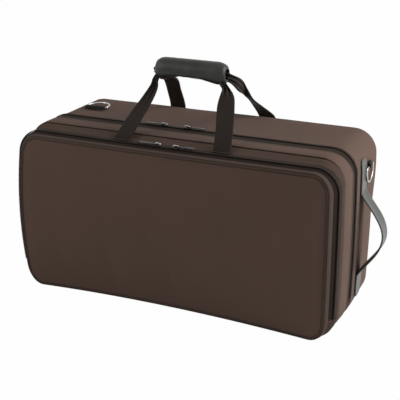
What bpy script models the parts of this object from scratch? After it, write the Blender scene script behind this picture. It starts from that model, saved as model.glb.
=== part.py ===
"""Soft-sided double trumpet case, standing on its hinge side.

Metres, +Z up, +X to the right of the front pocket, -Y towards the front. The origin is on the
floor, in the middle of the case's flat underside. A deep back shell with the instrument bed, a
lid on a fabric hinge along the bottom, an accessory pocket on the lid with a panel that folds
down, two webbing loops joined in a wrapped grip, an end handle and two D-rings.
"""

import math

import bmesh
import bpy
from mathutils import Matrix, Vector

# Overall case
LENGTH = 0.560
HEIGHT = 0.290
CORNER_RADIUS = 0.038
SHELL_DEPTH = 0.125
LID_DEPTH = 0.054
POCKET_DEPTH = 0.041
ZIP_Y = -0.030
BACK_TAPER = 0.007
BACK_RISE = 0.006
BACK_EDGE_RADIUS = 0.011
BACK_CROWN = 0.003
CROWN_RUN = 0.030
LID_EDGE_RADIUS = 0.004
SIDE_BOW = 0.003

# Walls and clearances
SHELL_WALL = 0.005
LINING = 0.003
LINING_EDGE = 0.006
LINING_RIM = 0.004
FABRIC = 0.0025
GAP = 0.0003
SEAT = 0.0005

# Pocket on the lid
POCKET_SIDE_INSET = 0.006
POCKET_TOP_INSET = 0.009
POCKET_FLOOR = 0.002
POCKET_ARCH = 0.013
POCKET_RADIUS = 0.037
PANEL_BULGE_HIGH = 0.007
PANEL_BULGE_LONG = 0.004
PIPING_RADIUS = 0.0026
PANEL_LEAST_RADIUS = 0.008
PANEL_STATIONS = (0.030, 0.060, 0.090, 0.118)
PIPING_NOTCH = 0.0064
LID_PIPING_RADIUS = 0.0018

# Zips: the visible tape on each side of the split, and the raised chain
MAIN_TAPE = 0.015
POCKET_TAPE = 0.0085
TAPE_THICKNESS = 0.0015
CHAIN_WIDTH = 0.0034
CHAIN_RISE = 0.0010
CHAIN_SLOPE = 0.0006
ZIP_END_HEIGHT = 0.040

# Sliders and pulls
SLIDER_LENGTH = 0.013
SLIDER_WIDTH = 0.010
SLIDER_PLATE = 0.0024
BRIDGE_LENGTH = 0.0088
BRIDGE_WIDTH = 0.0028
BRIDGE_BAR = 0.0016
BRIDGE_OPENING = 0.0024
PULL_THICKNESS = 0.0016
PULL_WIDTH = 0.0080
PULL_LENGTH = 0.033
PULL_EYE = 0.0055
SLIDER_EDGE = 0.0008
PULL_EDGE = 0.0006
SLIDER_PLACES = {
    "main_left": -0.052,
    "main_right": -0.010,
    "pocket_left": -0.020,
    "pocket_right": 0.012,
}

# Carrying straps and grip
WEBBING_WIDTH = 0.030
WEBBING_THICKNESS = 0.0024
STRAP_SPREAD = 0.0885
STRAP_SHIFT = -0.007
GRIP_LENGTH = 0.118
GRIP_Y = -0.040
GRIP_Z = 0.391
GRIP_HALF_DEPTH = 0.017
GRIP_HALF_HEIGHT = 0.0195
GRIP_WALL = 0.0026
GRIP_SPLIT_ANGLE = 62.0
GRIP_DIVIDE = 0.008
GRIP_STEPS = 6
GRIP_END_DRAW = 0.06
PIVOT_LIFT = 0.0018
ANCHOR_HEIGHT = 0.045

# End handle
END_HANDLE_Y = 0.0115
END_HANDLE_WIDTH = 0.032
END_HANDLE_THICKNESS = 0.0035
END_HANDLE_DROP = 0.024
END_HANDLE_BOTTOM = 0.032
END_HANDLE_SEWN = 0.040
END_HANDLE_REACH = 0.038
BOW_POWER = 1.25

# D-rings
RING_WIDTH = 0.044
RING_DEPTH = 0.028
RING_WIRE = 0.0018
RING_TAB_WIDTH = 0.034
RING_TAB_LENGTH = 0.014
RING_TAB_PLY = 0.0014
RING_BEND_STEPS = 8
LEFT_RING_PLACE = (-0.219, 0.020)
LEFT_RING_LEAN = 1.5
LEFT_RING_CLEAR = 0.0005
RIGHT_RING_Y = 0.0505
RIGHT_RING_DROP = 0.0425
RIGHT_RING_CLEAR = 0.0010
RIGHT_RING_SETTLE = 0.0020

# Instrument bed: two wells, head to tail
BED_DEPTH = 0.088
BED_FLOOR = 0.006
WELL_WIDTH = 0.068
WELL_LENGTH = 0.476
WELL_SPACING = 0.132
BELL_RADIUS = 0.062
BELL_RIM_X = 0.241
BELL_RIM_LENGTH = 0.008
CUTTER_OVER = 0.001
BELL_FLARE_LENGTH = 0.070
INSERT_WIDTH = 0.048
INSERT_DEPTH = 0.048
ACCESSORY_LENGTH = 0.150
ACCESSORY_WALL = 0.0022
ACCESSORY_LID = 0.003
ACCESSORY_TAB_HALF = 0.007
ACCESSORY_TAB_PLY = 0.0012
ACCESSORY_TAB_SEWN = 0.014
ACCESSORY_TAB_FREE = 0.004
MOUTHPIECE_LENGTH = 0.070
MOUTHPIECE_PLACE = 0.120
MOUTHPIECE_RADIUS = 0.0138
MOUTHPIECE_HOLES = 2
RETAINER_WIDTH = 0.038
RETAINER_PLACE = 0.045
RETAINER_OVERLAP = 0.020
RETAINER_THICKNESS = 0.0016
HOOK_PATCH = 0.0008
HOOK_PATCH_MARGIN = 0.002

# Facets
CORNER_STEPS = 5
LONG_STEPS = 6
SHORT_STEPS = 4
ROUND_STEPS = 24
SEWN_STEPS = 6
RING_STEPS = 14
BOW_STEPS = 20

HALF_LENGTH = LENGTH / 2
LID_FRONT_Y = ZIP_Y - LID_DEPTH
POCKET_FRONT_Y = LID_FRONT_Y - POCKET_DEPTH
BACK_Y = ZIP_Y + SHELL_DEPTH
POCKET_ZIP_Y = POCKET_FRONT_Y + PIPING_NOTCH + POCKET_TAPE
REBATE = TAPE_THICKNESS + GAP
LINING_INSET = SHELL_WALL + REBATE + 2 * GAP
BED_INSET = LINING_INSET + LINING + SEAT
CENTRE_Z = HEIGHT / 2

COLOURS = {
    "brown_fabric": ((0.085, 0.058, 0.045), 0.85, 0.0),
    "plush": ((0.060, 0.045, 0.040), 0.95, 0.0),
    "foam": ((0.050, 0.042, 0.038), 0.95, 0.0),
    "webbing": ((0.040, 0.030, 0.026), 0.80, 0.0),
    "zip_tape": ((0.030, 0.021, 0.017), 0.75, 0.0),
    "piping": ((0.110, 0.078, 0.062), 0.65, 0.0),
    "grip_leather": ((0.030, 0.030, 0.026), 0.45, 0.0),
    "end_leather": ((0.120, 0.125, 0.115), 0.40, 0.0),
    "nickel": ((0.55, 0.54, 0.52), 0.30, 1.0),
    "dark_metal": ((0.10, 0.10, 0.10), 0.35, 1.0),
    "black_plastic": ((0.025, 0.025, 0.025), 0.50, 0.0),
}


def clear_scene():
    for thing in list(bpy.data.objects):
        bpy.data.objects.remove(thing, do_unlink=True)


def make_collection(name):
    collection = bpy.data.collections.new(name)
    bpy.context.scene.collection.children.link(collection)
    return collection


def material(name):
    """The named finish, made on first use."""
    found = bpy.data.materials.get(name)
    if found:
        return found
    colour, roughness, metallic = COLOURS[name]
    made = bpy.data.materials.new(name)
    made.use_nodes = True
    shader = made.node_tree.nodes["Principled BSDF"]
    shader.inputs["Base Color"].default_value = (*colour, 1.0)
    shader.inputs["Roughness"].default_value = roughness
    shader.inputs["Metallic"].default_value = metallic
    return made


def add_object(name, data, finish, collection="double_trumpet_case"):
    thing = bpy.data.objects.new(name, data)
    bpy.data.collections[collection].objects.link(thing)
    data.materials.append(material(finish))
    return thing


def add_mesh(name, bm, finish, smooth=True, collection="double_trumpet_case"):
    """A mesh object from a bmesh, which is freed."""
    mesh = bpy.data.meshes.new(name)
    bm.to_mesh(mesh)
    bm.free()
    if smooth:
        mesh.shade_smooth()
        mesh.set_sharp_from_angle(angle=math.radians(40))
    return add_object(name, mesh, finish, collection)


def solidify(thing, thickness, offset):
    modifier = thing.modifiers.new("wall", "SOLIDIFY")
    modifier.thickness = thickness
    modifier.offset = offset
    modifier.use_even_offset = True
    return thing


def bevel(thing, width, segments=2, angle=35):
    modifier = thing.modifiers.new("edges", "BEVEL")
    modifier.width = width
    modifier.segments = segments
    modifier.limit_method = "ANGLE"
    modifier.angle_limit = math.radians(angle)
    return thing


def boolean(thing, other, operation):
    modifier = thing.modifiers.new(operation.lower(), "BOOLEAN")
    modifier.operation = operation
    modifier.solver = "EXACT"
    modifier.object = other
    return thing


def as_cutter(thing):
    """Moves a helper to the cutters, out of the render."""
    for collection in thing.users_collection:
        collection.objects.unlink(thing)
    bpy.data.collections["cutters"].objects.link(thing)
    thing.hide_render = True
    thing.display_type = "WIRE"
    return thing


def pivot(name, place):
    """An empty on a joint's axis, which carries the pieces that turn on it."""
    empty = bpy.data.objects.new(name, None)
    empty.location = place
    empty.empty_display_size = 0.01
    bpy.data.collections["double_trumpet_case"].objects.link(empty)
    return empty


def hang_on(thing, parent):
    """Parents a piece that is modelled in place, and leaves it there."""
    bpy.context.view_layer.update()
    thing.parent = parent
    thing.matrix_parent_inverse = parent.matrix_world.inverted()
    return thing


# Outlines


def outline(half_width, low, high, radius, side_bow=0.0, arch=0.0):
    """(x, z) round a rectangle with round corners, from the middle of the bottom round by the left.

    side_bow swells the short sides, and arch lifts the middle of the bottom.
    """
    corners = (
        (-half_width + radius, low + radius, 270),
        (-half_width + radius, high - radius, 180),
        (half_width - radius, high - radius, 90),
        (half_width - radius, low + radius, 0),
    )
    straight = (SHORT_STEPS, LONG_STEPS, SHORT_STEPS)
    bottom = [(-t * (half_width - radius) * 2 / LONG_STEPS, low) for t in range(LONG_STEPS // 2)]
    points = list(bottom)
    for number, (cx, cz, start) in enumerate(corners):
        for step in range(CORNER_STEPS + 1):
            angle = math.radians(start - 90 * step / CORNER_STEPS)
            points.append((cx + radius * math.cos(angle), cz + radius * math.sin(angle)))
        if number < len(straight):
            ahead = corners[number + 1]
            turn = math.radians(ahead[2])
            end = (ahead[0] + radius * math.cos(turn), ahead[1] + radius * math.sin(turn))
            begin = points[-1]
            for step in range(1, straight[number]):
                share = step / straight[number]
                points.append(
                    (begin[0] + (end[0] - begin[0]) * share, begin[1] + (end[1] - begin[1]) * share)
                )
    points += [(-x, z) for x, z in reversed(bottom[1:])]
    middle, half_height = (low + high) / 2, (high - low) / 2
    shaped = []
    for x, z in points:
        along = x / half_width
        up = (z - middle) / half_height
        bowed = x + side_bow * (1 - up * up) * along * abs(along) ** 3
        lifted = z + arch * (1 - along * along) * max(0.0, -up) ** 4
        shaped.append((bowed, lifted))
    return shaped


def case_outline(inset=0.0, taper=0.0, rise=0.0):
    """The outline of the lid and shell, pulled in by inset, with the back's taper and rise."""
    return outline(
        HALF_LENGTH - taper - inset,
        inset,
        HEIGHT + rise - inset,
        CORNER_RADIUS - inset,
        SIDE_BOW,
    )


def pocket_outline(inset=0.0, arch=POCKET_ARCH):
    return outline(
        HALF_LENGTH - POCKET_SIDE_INSET - inset,
        POCKET_FLOOR + inset,
        HEIGHT - POCKET_TOP_INSET - inset,
        max(POCKET_RADIUS - inset, PANEL_LEAST_RADIUS),
        SIDE_BOW,
        arch,
    )


def panel_bulge(x, z):
    """How far the filled pocket pushes its front forwards at a point of the panel."""
    along = min(1.0, abs(x) / HALF_LENGTH)
    up = min(1.0, abs(z - CENTRE_Z) / CENTRE_Z)
    return PANEL_BULGE_HIGH * (1 - up * up) + PANEL_BULGE_LONG * (1 - along * along)


def ring_at(points, y, bulged=False):
    return [Vector((x, y - (panel_bulge(x, z) if bulged else 0.0), z)) for x, z in points]


def outward_normals(points, closed):
    """Unit (x, z) normals that point out of an outline which runs round by the left."""
    normals = []
    for number in range(len(points)):
        if closed:
            before = points[number - 1]
            after = points[(number + 1) % len(points)]
        else:
            before = points[max(number - 1, 0)]
            after = points[min(number + 1, len(points) - 1)]
        along = Vector((after[0] - before[0], after[1] - before[1])).normalized()
        normals.append(Vector((-along.y, along.x)))
    return normals


# Solid builders


def loft_faces(bm, rings, closed=True):
    """Quads between rings of equal length. Returns the rings' vertices."""
    rows = [[bm.verts.new(point) for point in ring] for ring in rings]
    for first, second in zip(rows, rows[1:]):
        count = len(first)
        for number in range(count if closed else count - 1):
            after = (number + 1) % count
            bm.faces.new((first[number], first[after], second[after], second[number]))
    return rows


def tray(name, rings, wall, finish, capped=True):
    """An open shell through the rings, closed at the last one, with its wall on the inside."""
    bm = bmesh.new()
    rows = loft_faces(bm, rings)
    if capped:
        bm.faces.new(rows[-1])
    bmesh.ops.recalc_face_normals(bm, faces=bm.faces)
    middle = sum((vert.co for vert in bm.verts), Vector()) / len(bm.verts)
    bm.faces.ensure_lookup_table()
    side = bm.faces[0]
    outwards = side.calc_center_median() - middle
    outwards.y = 0
    if side.normal.dot(outwards) < 0:
        bmesh.ops.reverse_faces(bm, faces=bm.faces)
    return solidify(add_mesh(name, bm, finish), wall, -1.0)


def sweep(name, points, y, section, finish, closed=False, bulged=False):
    """A closed section of (along +Y, outwards) points carried along an outline in the XZ plane."""
    bm = bmesh.new()
    rings = []
    for (x, z), normal in zip(points, outward_normals(points, closed)):
        base = Vector((x, y - (panel_bulge(x, z) if bulged else 0.0), z))
        rings.append([base + Vector((normal.x * out, along, normal.y * out)) for along, out in section])
    if closed:
        rings.append(rings[0])
    rows = loft_faces(bm, rings)
    if closed:
        bmesh.ops.remove_doubles(bm, verts=bm.verts, dist=1e-6)
    else:
        bm.faces.new(rows[0])
        bm.faces.new(rows[-1])
    bmesh.ops.recalc_face_normals(bm, faces=bm.faces)
    return add_mesh(name, bm, finish)


def sheet(name, rows, thickness, finish, offset=0.0):
    """A strip or panel through rows of points, given its thickness."""
    bm = bmesh.new()
    loft_faces(bm, rows, closed=False)
    bmesh.ops.recalc_face_normals(bm, faces=bm.faces)
    return solidify(add_mesh(name, bm, finish), thickness, offset)


def box(name, low, high, finish, collection="double_trumpet_case"):
    bm = bmesh.new()
    bmesh.ops.create_cube(bm, size=1.0)
    low, high = Vector(low), Vector(high)
    bmesh.ops.scale(bm, vec=high - low, verts=bm.verts)
    bmesh.ops.translate(bm, vec=(low + high) / 2, verts=bm.verts)
    return add_mesh(name, bm, finish, smooth=False, collection=collection)


def rod(name, start, end, radius, finish, steps=ROUND_STEPS):
    """A cylinder between two points."""
    start, end = Vector(start), Vector(end)
    bm = bmesh.new()
    turn = (end - start).to_track_quat("Z", "Y").to_matrix().to_4x4()
    bmesh.ops.create_cone(
        bm,
        cap_ends=True,
        segments=steps,
        radius1=radius,
        radius2=radius,
        depth=(end - start).length,
        matrix=Matrix.Translation((start + end) / 2) @ turn,
    )
    return add_mesh(name, bm, finish)


def smooth_path(stations, per_span):
    """Catmull-Rom points through stations, each a list of equal-length vectors."""
    ends = [stations[0], *stations, stations[-1]]
    path = []
    for number in range(1, len(ends) - 2):
        p0, p1, p2, p3 = ends[number - 1 : number + 3]
        for step in range(per_span):
            t = step / per_span
            path.append(
                [
                    0.5
                    * (
                        2 * b
                        + (c - a) * t
                        + (2 * a - 5 * b + 4 * c - d) * t * t
                        + (3 * b - a - 3 * c + d) * t**3
                    )
                    for a, b, c, d in zip(p0, p1, p2, p3)
                ]
            )
    path.append(list(stations[-1]))
    return path


def ribbon_rows(stations, per_span, across=2):
    """Rows for a strap from stations of (place, width vector), where the vector is half the width."""
    rows = []
    for place, half in smooth_path(stations, per_span):
        rows.append([place + half * (-1 + 2 * n / across) for n in range(across + 1)])
    return rows


# Back shell


def back_station(depth):
    """The outline's taper and rise at a depth behind the main zip, as (taper, rise)."""
    share = max(0.0, (depth - MAIN_TAPE) / (SHELL_DEPTH - MAIN_TAPE))
    return BACK_TAPER * share, BACK_RISE * share


def shell_rings(inset=0.0, edge=BACK_EDGE_RADIUS, rim=GAP, rebated=True):
    rings = []
    if rebated:
        for depth, pulled in ((rim, REBATE), (MAIN_TAPE, REBATE)):
            rings.append(ring_at(case_outline(pulled), ZIP_Y + depth))
    straight_end = SHELL_DEPTH - inset - edge
    depths = [MAIN_TAPE, (MAIN_TAPE + straight_end) / 2, straight_end]
    for depth in depths if rebated else [rim] + depths:
        taper, rise = back_station(depth)
        rings.append(ring_at(case_outline(inset, taper, rise), ZIP_Y + depth))
    taper, rise = back_station(SHELL_DEPTH)
    for angle in (30, 60, 90):
        turn = math.radians(angle)
        pulled = inset + edge * (1 - math.cos(turn))
        y = ZIP_Y + straight_end + edge * math.sin(turn)
        rings.append(ring_at(case_outline(pulled, taper, rise), y))
    return rings


def make_back_shell():
    rings = shell_rings()
    taper, rise = back_station(SHELL_DEPTH)
    crown = case_outline(BACK_EDGE_RADIUS + CROWN_RUN, taper, rise)
    rings.append(ring_at(crown, BACK_Y + BACK_CROWN))
    tray("back_shell", rings, SHELL_WALL, "brown_fabric")
    tray(
        "back_lining",
        shell_rings(LINING_INSET, edge=LINING_EDGE, rim=LINING_RIM, rebated=False),
        LINING,
        "plush",
    )


def cut_path(points, height, upper):
    """The part of an outline above or below a height, with its ends cut exactly there."""
    turned = points if upper else points[len(points) // 2 :] + points[: len(points) // 2]
    path = []
    for before, after in zip(turned, turned[1:] + turned[:1]):
        if (before[1] > height) == upper:
            path.append(before)
        if (before[1] > height) != (after[1] > height):
            share = (height - before[1]) / (after[1] - before[1])
            path.append((before[0] + (after[0] - before[0]) * share, height))
    return path


def zip_path(points):
    """The zip's way round the case, left end to right end."""
    return cut_path(points, ZIP_END_HEIGHT + GAP, True)


def hinge_path(points):
    """The hinge strip's way along the bottom, right end to left end."""
    return cut_path(points, ZIP_END_HEIGHT - GAP, False)


def tape_section(width, side, chained=True):
    """A tape from the split outwards to one side, with half the chain raised along the split."""
    base, top = GAP, REBATE
    near, far = side * GAP, side * width
    if not chained:
        return [(near, base), (far, base), (far, top), (near, top)]
    chain = side * CHAIN_WIDTH
    return [
        (near, base),
        (far, base),
        (far, top),
        (chain + side * CHAIN_SLOPE, top),
        (chain, top + CHAIN_RISE),
        (near, top + CHAIN_RISE),
    ]


def make_main_zip():
    rebate = case_outline(REBATE)
    for side, part in ((1, "shell"), (-1, "lid")):
        width = MAIN_TAPE - GAP
        sweep(
            f"main_zip_{part}_tape",
            zip_path(rebate),
            ZIP_Y,
            tape_section(width, side),
            "zip_tape",
        )
        sweep(
            f"hinge_strip_{part}_side",
            hinge_path(rebate),
            ZIP_Y,
            tape_section(width, side, chained=False),
            "brown_fabric",
        )


# Lid and pocket


def lid_rings(inset=0.0, edge=LID_EDGE_RADIUS, rim=GAP, rebated=True):
    rings = []
    if rebated:
        for depth in (rim, MAIN_TAPE):
            rings.append(ring_at(case_outline(REBATE), ZIP_Y - depth))
    start = MAIN_TAPE if rebated else rim
    straight_end = LID_DEPTH - inset - edge
    for depth in (start, straight_end):
        rings.append(ring_at(case_outline(inset), ZIP_Y - depth))
    for angle in (45, 90):
        turn = math.radians(angle)
        pulled = inset + edge * (1 - math.cos(turn))
        rings.append(ring_at(case_outline(pulled), ZIP_Y - straight_end - edge * math.sin(turn)))
    return rings


def make_lid():
    tray("lid_shell", lid_rings(), SHELL_WALL, "brown_fabric")
    tray(
        "lid_lining",
        lid_rings(LINING_INSET, edge=LINING_EDGE, rim=LINING_RIM, rebated=False),
        LINING,
        "plush",
    )
    sweep(
        "lid_piping",
        zip_path(pocket_outline(-LID_PIPING_RADIUS - 2 * GAP, arch=0.0)),
        LID_FRONT_Y - LID_PIPING_RADIUS - GAP,
        round_section(LID_PIPING_RADIUS, 6),
        "zip_tape",
    )


def round_section(radius, sides):
    return [
        (radius * math.cos(2 * math.pi * n / sides), radius * math.sin(2 * math.pi * n / sides))
        for n in range(sides)
    ]


def make_pocket_gusset():
    rings = [
        ring_at(pocket_outline(REBATE), POCKET_ZIP_Y + GAP, bulged=True),
        ring_at(pocket_outline(REBATE), POCKET_ZIP_Y + POCKET_TAPE, bulged=True),
        ring_at(pocket_outline(), POCKET_ZIP_Y + POCKET_TAPE, bulged=True),
        ring_at(pocket_outline(arch=0.0), LID_FRONT_Y - 2 * FABRIC),
        ring_at(pocket_outline(arch=0.0), LID_FRONT_Y - GAP),
    ]
    tray("pocket_gusset", rings, FABRIC, "brown_fabric", capped=False)


def make_pocket_panel():
    notch = PIPING_NOTCH
    rings = [
        ring_at(pocket_outline(REBATE), POCKET_ZIP_Y - GAP, bulged=True),
        ring_at(pocket_outline(REBATE), POCKET_FRONT_Y + notch, bulged=True),
        ring_at(pocket_outline(notch), POCKET_FRONT_Y + notch, bulged=True),
        ring_at(pocket_outline(notch), POCKET_FRONT_Y + 0.001, bulged=True),
    ]
    for inset in (notch + 0.001, *PANEL_STATIONS):
        rings.append(ring_at(pocket_outline(inset), POCKET_FRONT_Y, bulged=True))
    tray("pocket_panel", rings, FABRIC, "brown_fabric")
    inset = PIPING_RADIUS + GAP
    sweep(
        "pocket_piping",
        pocket_outline(inset),
        POCKET_FRONT_Y + PIPING_RADIUS + GAP,
        round_section(PIPING_RADIUS, 6),
        "piping",
        closed=True,
        bulged=True,
    )


def make_pocket_zip():
    rebate = pocket_outline(REBATE)
    for side, part in ((1, "lid"), (-1, "panel")):
        width = POCKET_TAPE - GAP
        sweep(
            f"pocket_zip_{part}_tape",
            zip_path(rebate),
            POCKET_ZIP_Y,
            tape_section(width, side),
            "zip_tape",
            bulged=True,
        )
        sweep(
            f"pocket_fold_{part}_side",
            hinge_path(rebate),
            POCKET_ZIP_Y,
            tape_section(width, side, chained=False),
            "brown_fabric",
            bulged=True,
        )


# Sliders and pulls


def make_slider(name, x, y, z, towards):
    """A slider whose plate stands on the chain at z, with its pull lying towards +X or -X."""
    base = z + GAP
    plate_top = base + SLIDER_PLATE
    body = box(
        f"{name}_slider",
        (x - SLIDER_LENGTH / 2, y - SLIDER_WIDTH / 2, base),
        (x + SLIDER_LENGTH / 2, y + SLIDER_WIDTH / 2, plate_top),
        "dark_metal",
    )
    bevel(body, SLIDER_EDGE, 2)
    bridge = box(
        f"{name}_bridge",
        (x - BRIDGE_LENGTH / 2, y - BRIDGE_WIDTH / 2, base + SLIDER_PLATE / 2),
        (x + BRIDGE_LENGTH / 2, y + BRIDGE_WIDTH / 2, plate_top + BRIDGE_OPENING + BRIDGE_BAR),
        "dark_metal",
        collection="cutters",
    )
    bevel(bridge, SLIDER_EDGE * 0.9, 2)
    as_cutter(bridge)
    half_opening = BRIDGE_LENGTH / 2 - BRIDGE_BAR
    opening = box(
        f"{name}_opening",
        (x - half_opening, y - BRIDGE_WIDTH, plate_top),
        (x + half_opening, y + BRIDGE_WIDTH, plate_top + BRIDGE_OPENING),
        "dark_metal",
        collection="cutters",
    )
    as_cutter(opening)
    boolean(body, bridge, "UNION")
    boolean(body, opening, "DIFFERENCE")

    axis_z = plate_top + BRIDGE_OPENING / 2
    half = PULL_THICKNESS / 2
    start, end = -half, PULL_LENGTH
    tab = box(
        f"{name}_pull",
        (start, -PULL_WIDTH / 2, -half),
        (end, PULL_WIDTH / 2, half),
        "dark_metal",
    )
    bevel(tab, PULL_EDGE, 1)
    eye = box(
        f"{name}_eye",
        (half, -PULL_WIDTH / 2 + half * 2, -PULL_THICKNESS),
        (PULL_EYE, PULL_WIDTH / 2 - half * 2, PULL_THICKNESS),
        "dark_metal",
        collection="cutters",
    )
    as_cutter(eye)
    boolean(tab, eye, "DIFFERENCE")
    turn = 0.0 if towards > 0 else math.pi
    for piece in (tab, eye):
        piece.location = (x, y, axis_z)
        piece.rotation_euler = (0.0, 0.0, turn)


def make_sliders():
    main_top = HEIGHT + CHAIN_RISE
    pocket_top = HEIGHT - POCKET_TOP_INSET + CHAIN_RISE
    for name, x in SLIDER_PLACES.items():
        towards = -1 if name.endswith("left") else 1
        if name.startswith("main"):
            make_slider(name, x, ZIP_Y, main_top, towards)
        else:
            y = POCKET_ZIP_Y - panel_bulge(x, pocket_top)
            make_slider(name, x, y, pocket_top, towards)


# Carrying straps and grip


def front_stations():
    """Places and half-width vectors of the front strap, left sewn end to right sewn end."""
    base_y = POCKET_ZIP_Y + POCKET_TAPE + WEBBING_THICKNESS / 2 + GAP
    base_z = HEIGHT - POCKET_TOP_INSET + PIVOT_LIFT
    half = WEBBING_WIDTH / 2
    tucked = half * 0.45
    right = [
        ((STRAP_SPREAD, base_y, base_z), (half, 0, 0)),
        ((STRAP_SPREAD - 0.004, base_y + 0.014, base_z + 0.030), (half, 0, 0)),
        ((STRAP_SPREAD - 0.011, base_y + 0.032, base_z + 0.062), (half, 0, 0)),
        ((STRAP_SPREAD - 0.018, base_y + 0.045, base_z + 0.085), (half * 0.65, 0.002, 0)),
        ((GRIP_LENGTH / 2 + 0.009, GRIP_Y - 0.005, GRIP_Z - 0.006), (0.003, 0.005, -0.001)),
        ((GRIP_LENGTH / 2 - 0.014, GRIP_Y - 0.004, GRIP_Z), (0, tucked, 0)),
        ((0.0, GRIP_Y - 0.004, GRIP_Z), (0, tucked, 0)),
    ]
    return mirrored_stations(right)


def rear_stations():
    """Places and half-width vectors of the rear strap, left sewn end to right sewn end."""
    base_z = anchor_top()
    base_y = back_face_y(base_z) + 1.5 * WEBBING_THICKNESS + 2 * GAP
    half = WEBBING_WIDTH / 2
    tucked = half * 0.6
    inner_y = GRIP_Y + GRIP_DIVIDE + WEBBING_THICKNESS / 2 + GAP
    grip_end = GRIP_LENGTH / 2
    held = [
        ((grip_end + 0.009, inner_y + 0.003, GRIP_Z - 0.003), (0.001, 0, half * 0.5)),
        ((grip_end - 0.012, inner_y, GRIP_Z), (0, 0, tucked)),
        ((0.0, inner_y, GRIP_Z), (0, 0, tucked)),
    ]
    right = [
        ((STRAP_SPREAD, base_y, base_z), (half, 0, 0)),
        ((STRAP_SPREAD - 0.003, base_y - 0.001, base_z + 0.014), (half, 0, 0)),
        ((STRAP_SPREAD - 0.015, base_y - 0.014, base_z + 0.032), (half * 0.8, -half * 0.45, 0.001)),
        ((STRAP_SPREAD - 0.0215, base_y - 0.035, base_z + 0.049), (half * 0.6, -half * 0.7, 0.002)),
        ((STRAP_SPREAD - 0.0245, base_y - 0.056, base_z + 0.067), (half * 0.35, -half * 0.4, 0.008)),
        ((grip_end + 0.007, base_y - 0.092, base_z + 0.090), (0.002, 0, half * 0.7)),
    ]
    left = [
        ((STRAP_SPREAD, base_y, base_z), (half, 0, 0)),
        ((STRAP_SPREAD - 0.003, base_y - 0.001, base_z + 0.014), (half, 0, 0)),
        ((STRAP_SPREAD - 0.0134, base_y - 0.040, base_z + 0.050), (half * 0.9, 0, -0.002)),
        ((grip_end + 0.001, base_y - 0.090, base_z + 0.083), (half * 0.8, 0, -0.002)),
    ]
    return mirrored_stations(right + held, left + held)


def anchor_top():
    """Where the rear strap's sewn ends stop, below the rounded top edge of the back."""
    return HEIGHT + BACK_RISE - BACK_EDGE_RADIUS - 0.004


def mirrored_stations(right, left=None):
    """All stations from the left end to the right end, given those from the right end to the middle.

    left has the left half's stations as seen in a mirror, where it hangs otherwise than the right.
    The sewn ends are shifted along the case, and the shift runs out towards the grip.
    """
    left = [
        (Vector((-place[0], place[1], place[2])), Vector((-half[0], half[1], half[2])))
        for place, half in left or right
    ]
    right = [(Vector(place), Vector(half)) for place, half in right]
    sewn_z = right[0][0].z
    stations = []
    for place, half in left + right[-2::-1]:
        share = max(0.0, (GRIP_Z - place.z) / (GRIP_Z - sewn_z))
        stations.append((place + Vector((STRAP_SHIFT * min(1.0, share), 0, 0)), half))
    return stations


def grip_rows(start, end, steps):
    """Rows of an arc round the grip's axis, from start to end degrees, along its length."""
    rows = []
    for x_step in range(GRIP_STEPS + 1):
        share = -1 + 2 * x_step / GRIP_STEPS
        swell = 1.0 - GRIP_END_DRAW * share**4
        row = []
        for step in range(steps + 1):
            angle = math.radians(start + (end - start) * step / steps)
            row.append(
                Vector(
                    (
                        share * GRIP_LENGTH / 2,
                        GRIP_Y + (GRIP_HALF_DEPTH - GRIP_WALL / 2) * swell * math.cos(angle),
                        GRIP_Z + (GRIP_HALF_HEIGHT - GRIP_WALL / 2) * swell * math.sin(angle),
                    )
                )
            )
        rows.append(row)
    return rows


def make_front_handle():
    stations = front_stations()
    axis = pivot("front_handle_pivot", (0.0, stations[0][0].y, stations[0][0].z))
    strap = sheet("front_handle_strap", ribbon_rows(stations, 3), WEBBING_THICKNESS, "webbing")
    wrap = sheet(
        "grip_wrap",
        grip_rows(GRIP_SPLIT_ANGLE + 2, 358 - GRIP_SPLIT_ANGLE, 14),
        GRIP_WALL,
        "grip_leather",
    )
    for piece in (strap, wrap):
        hang_on(piece, axis)


def make_rear_handle():
    stations = rear_stations()
    axis = pivot("rear_handle_pivot", (0.0, stations[0][0].y, stations[0][0].z))
    strap = sheet("rear_handle_strap", ribbon_rows(stations, 3), WEBBING_THICKNESS, "webbing")
    flap = sheet(
        "grip_flap",
        grip_rows(-GRIP_SPLIT_ANGLE, GRIP_SPLIT_ANGLE, 8),
        GRIP_WALL,
        "grip_leather",
    )
    for piece in (strap, flap):
        hang_on(piece, axis)
    for side, word in ((-1, "left"), (1, "right")):
        rows = []
        top = anchor_top()
        crown_end = HEIGHT + BACK_RISE - BACK_EDGE_RADIUS - CROWN_RUN
        for z in (top, crown_end, top - ANCHOR_HEIGHT):
            y = back_face_y(z) + GAP + WEBBING_THICKNESS / 2
            centre = Vector((side * STRAP_SPREAD + STRAP_SHIFT, y, z))
            half = Vector((WEBBING_WIDTH / 2, 0, 0))
            rows.append([centre - half, centre + half])
        sheet(f"rear_handle_{word}_anchor", rows, WEBBING_THICKNESS, "webbing")


# End handle


def side_x(y, z):
    """Half the case's width at a place on the side of the back shell."""
    taper, rise = back_station(y - ZIP_Y)
    half_width = HALF_LENGTH - taper
    top = HEIGHT + rise
    up = (z - top / 2) / (top / 2)
    above = max(0.0, z - (top - CORNER_RADIUS), CORNER_RADIUS - z)
    corner = CORNER_RADIUS - math.sqrt(max(CORNER_RADIUS**2 - above**2, 0.0))
    along = 1 - corner / half_width
    return half_width - corner + SIDE_BOW * (1 - up * up) * along**4


def top_z(x, y):
    """Height of the back shell's top at a place."""
    taper, rise = back_station(y - ZIP_Y)
    over = max(0.0, abs(x) - (HALF_LENGTH - taper - CORNER_RADIUS))
    return HEIGHT + rise - CORNER_RADIUS + math.sqrt(CORNER_RADIUS**2 - over**2)


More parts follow.
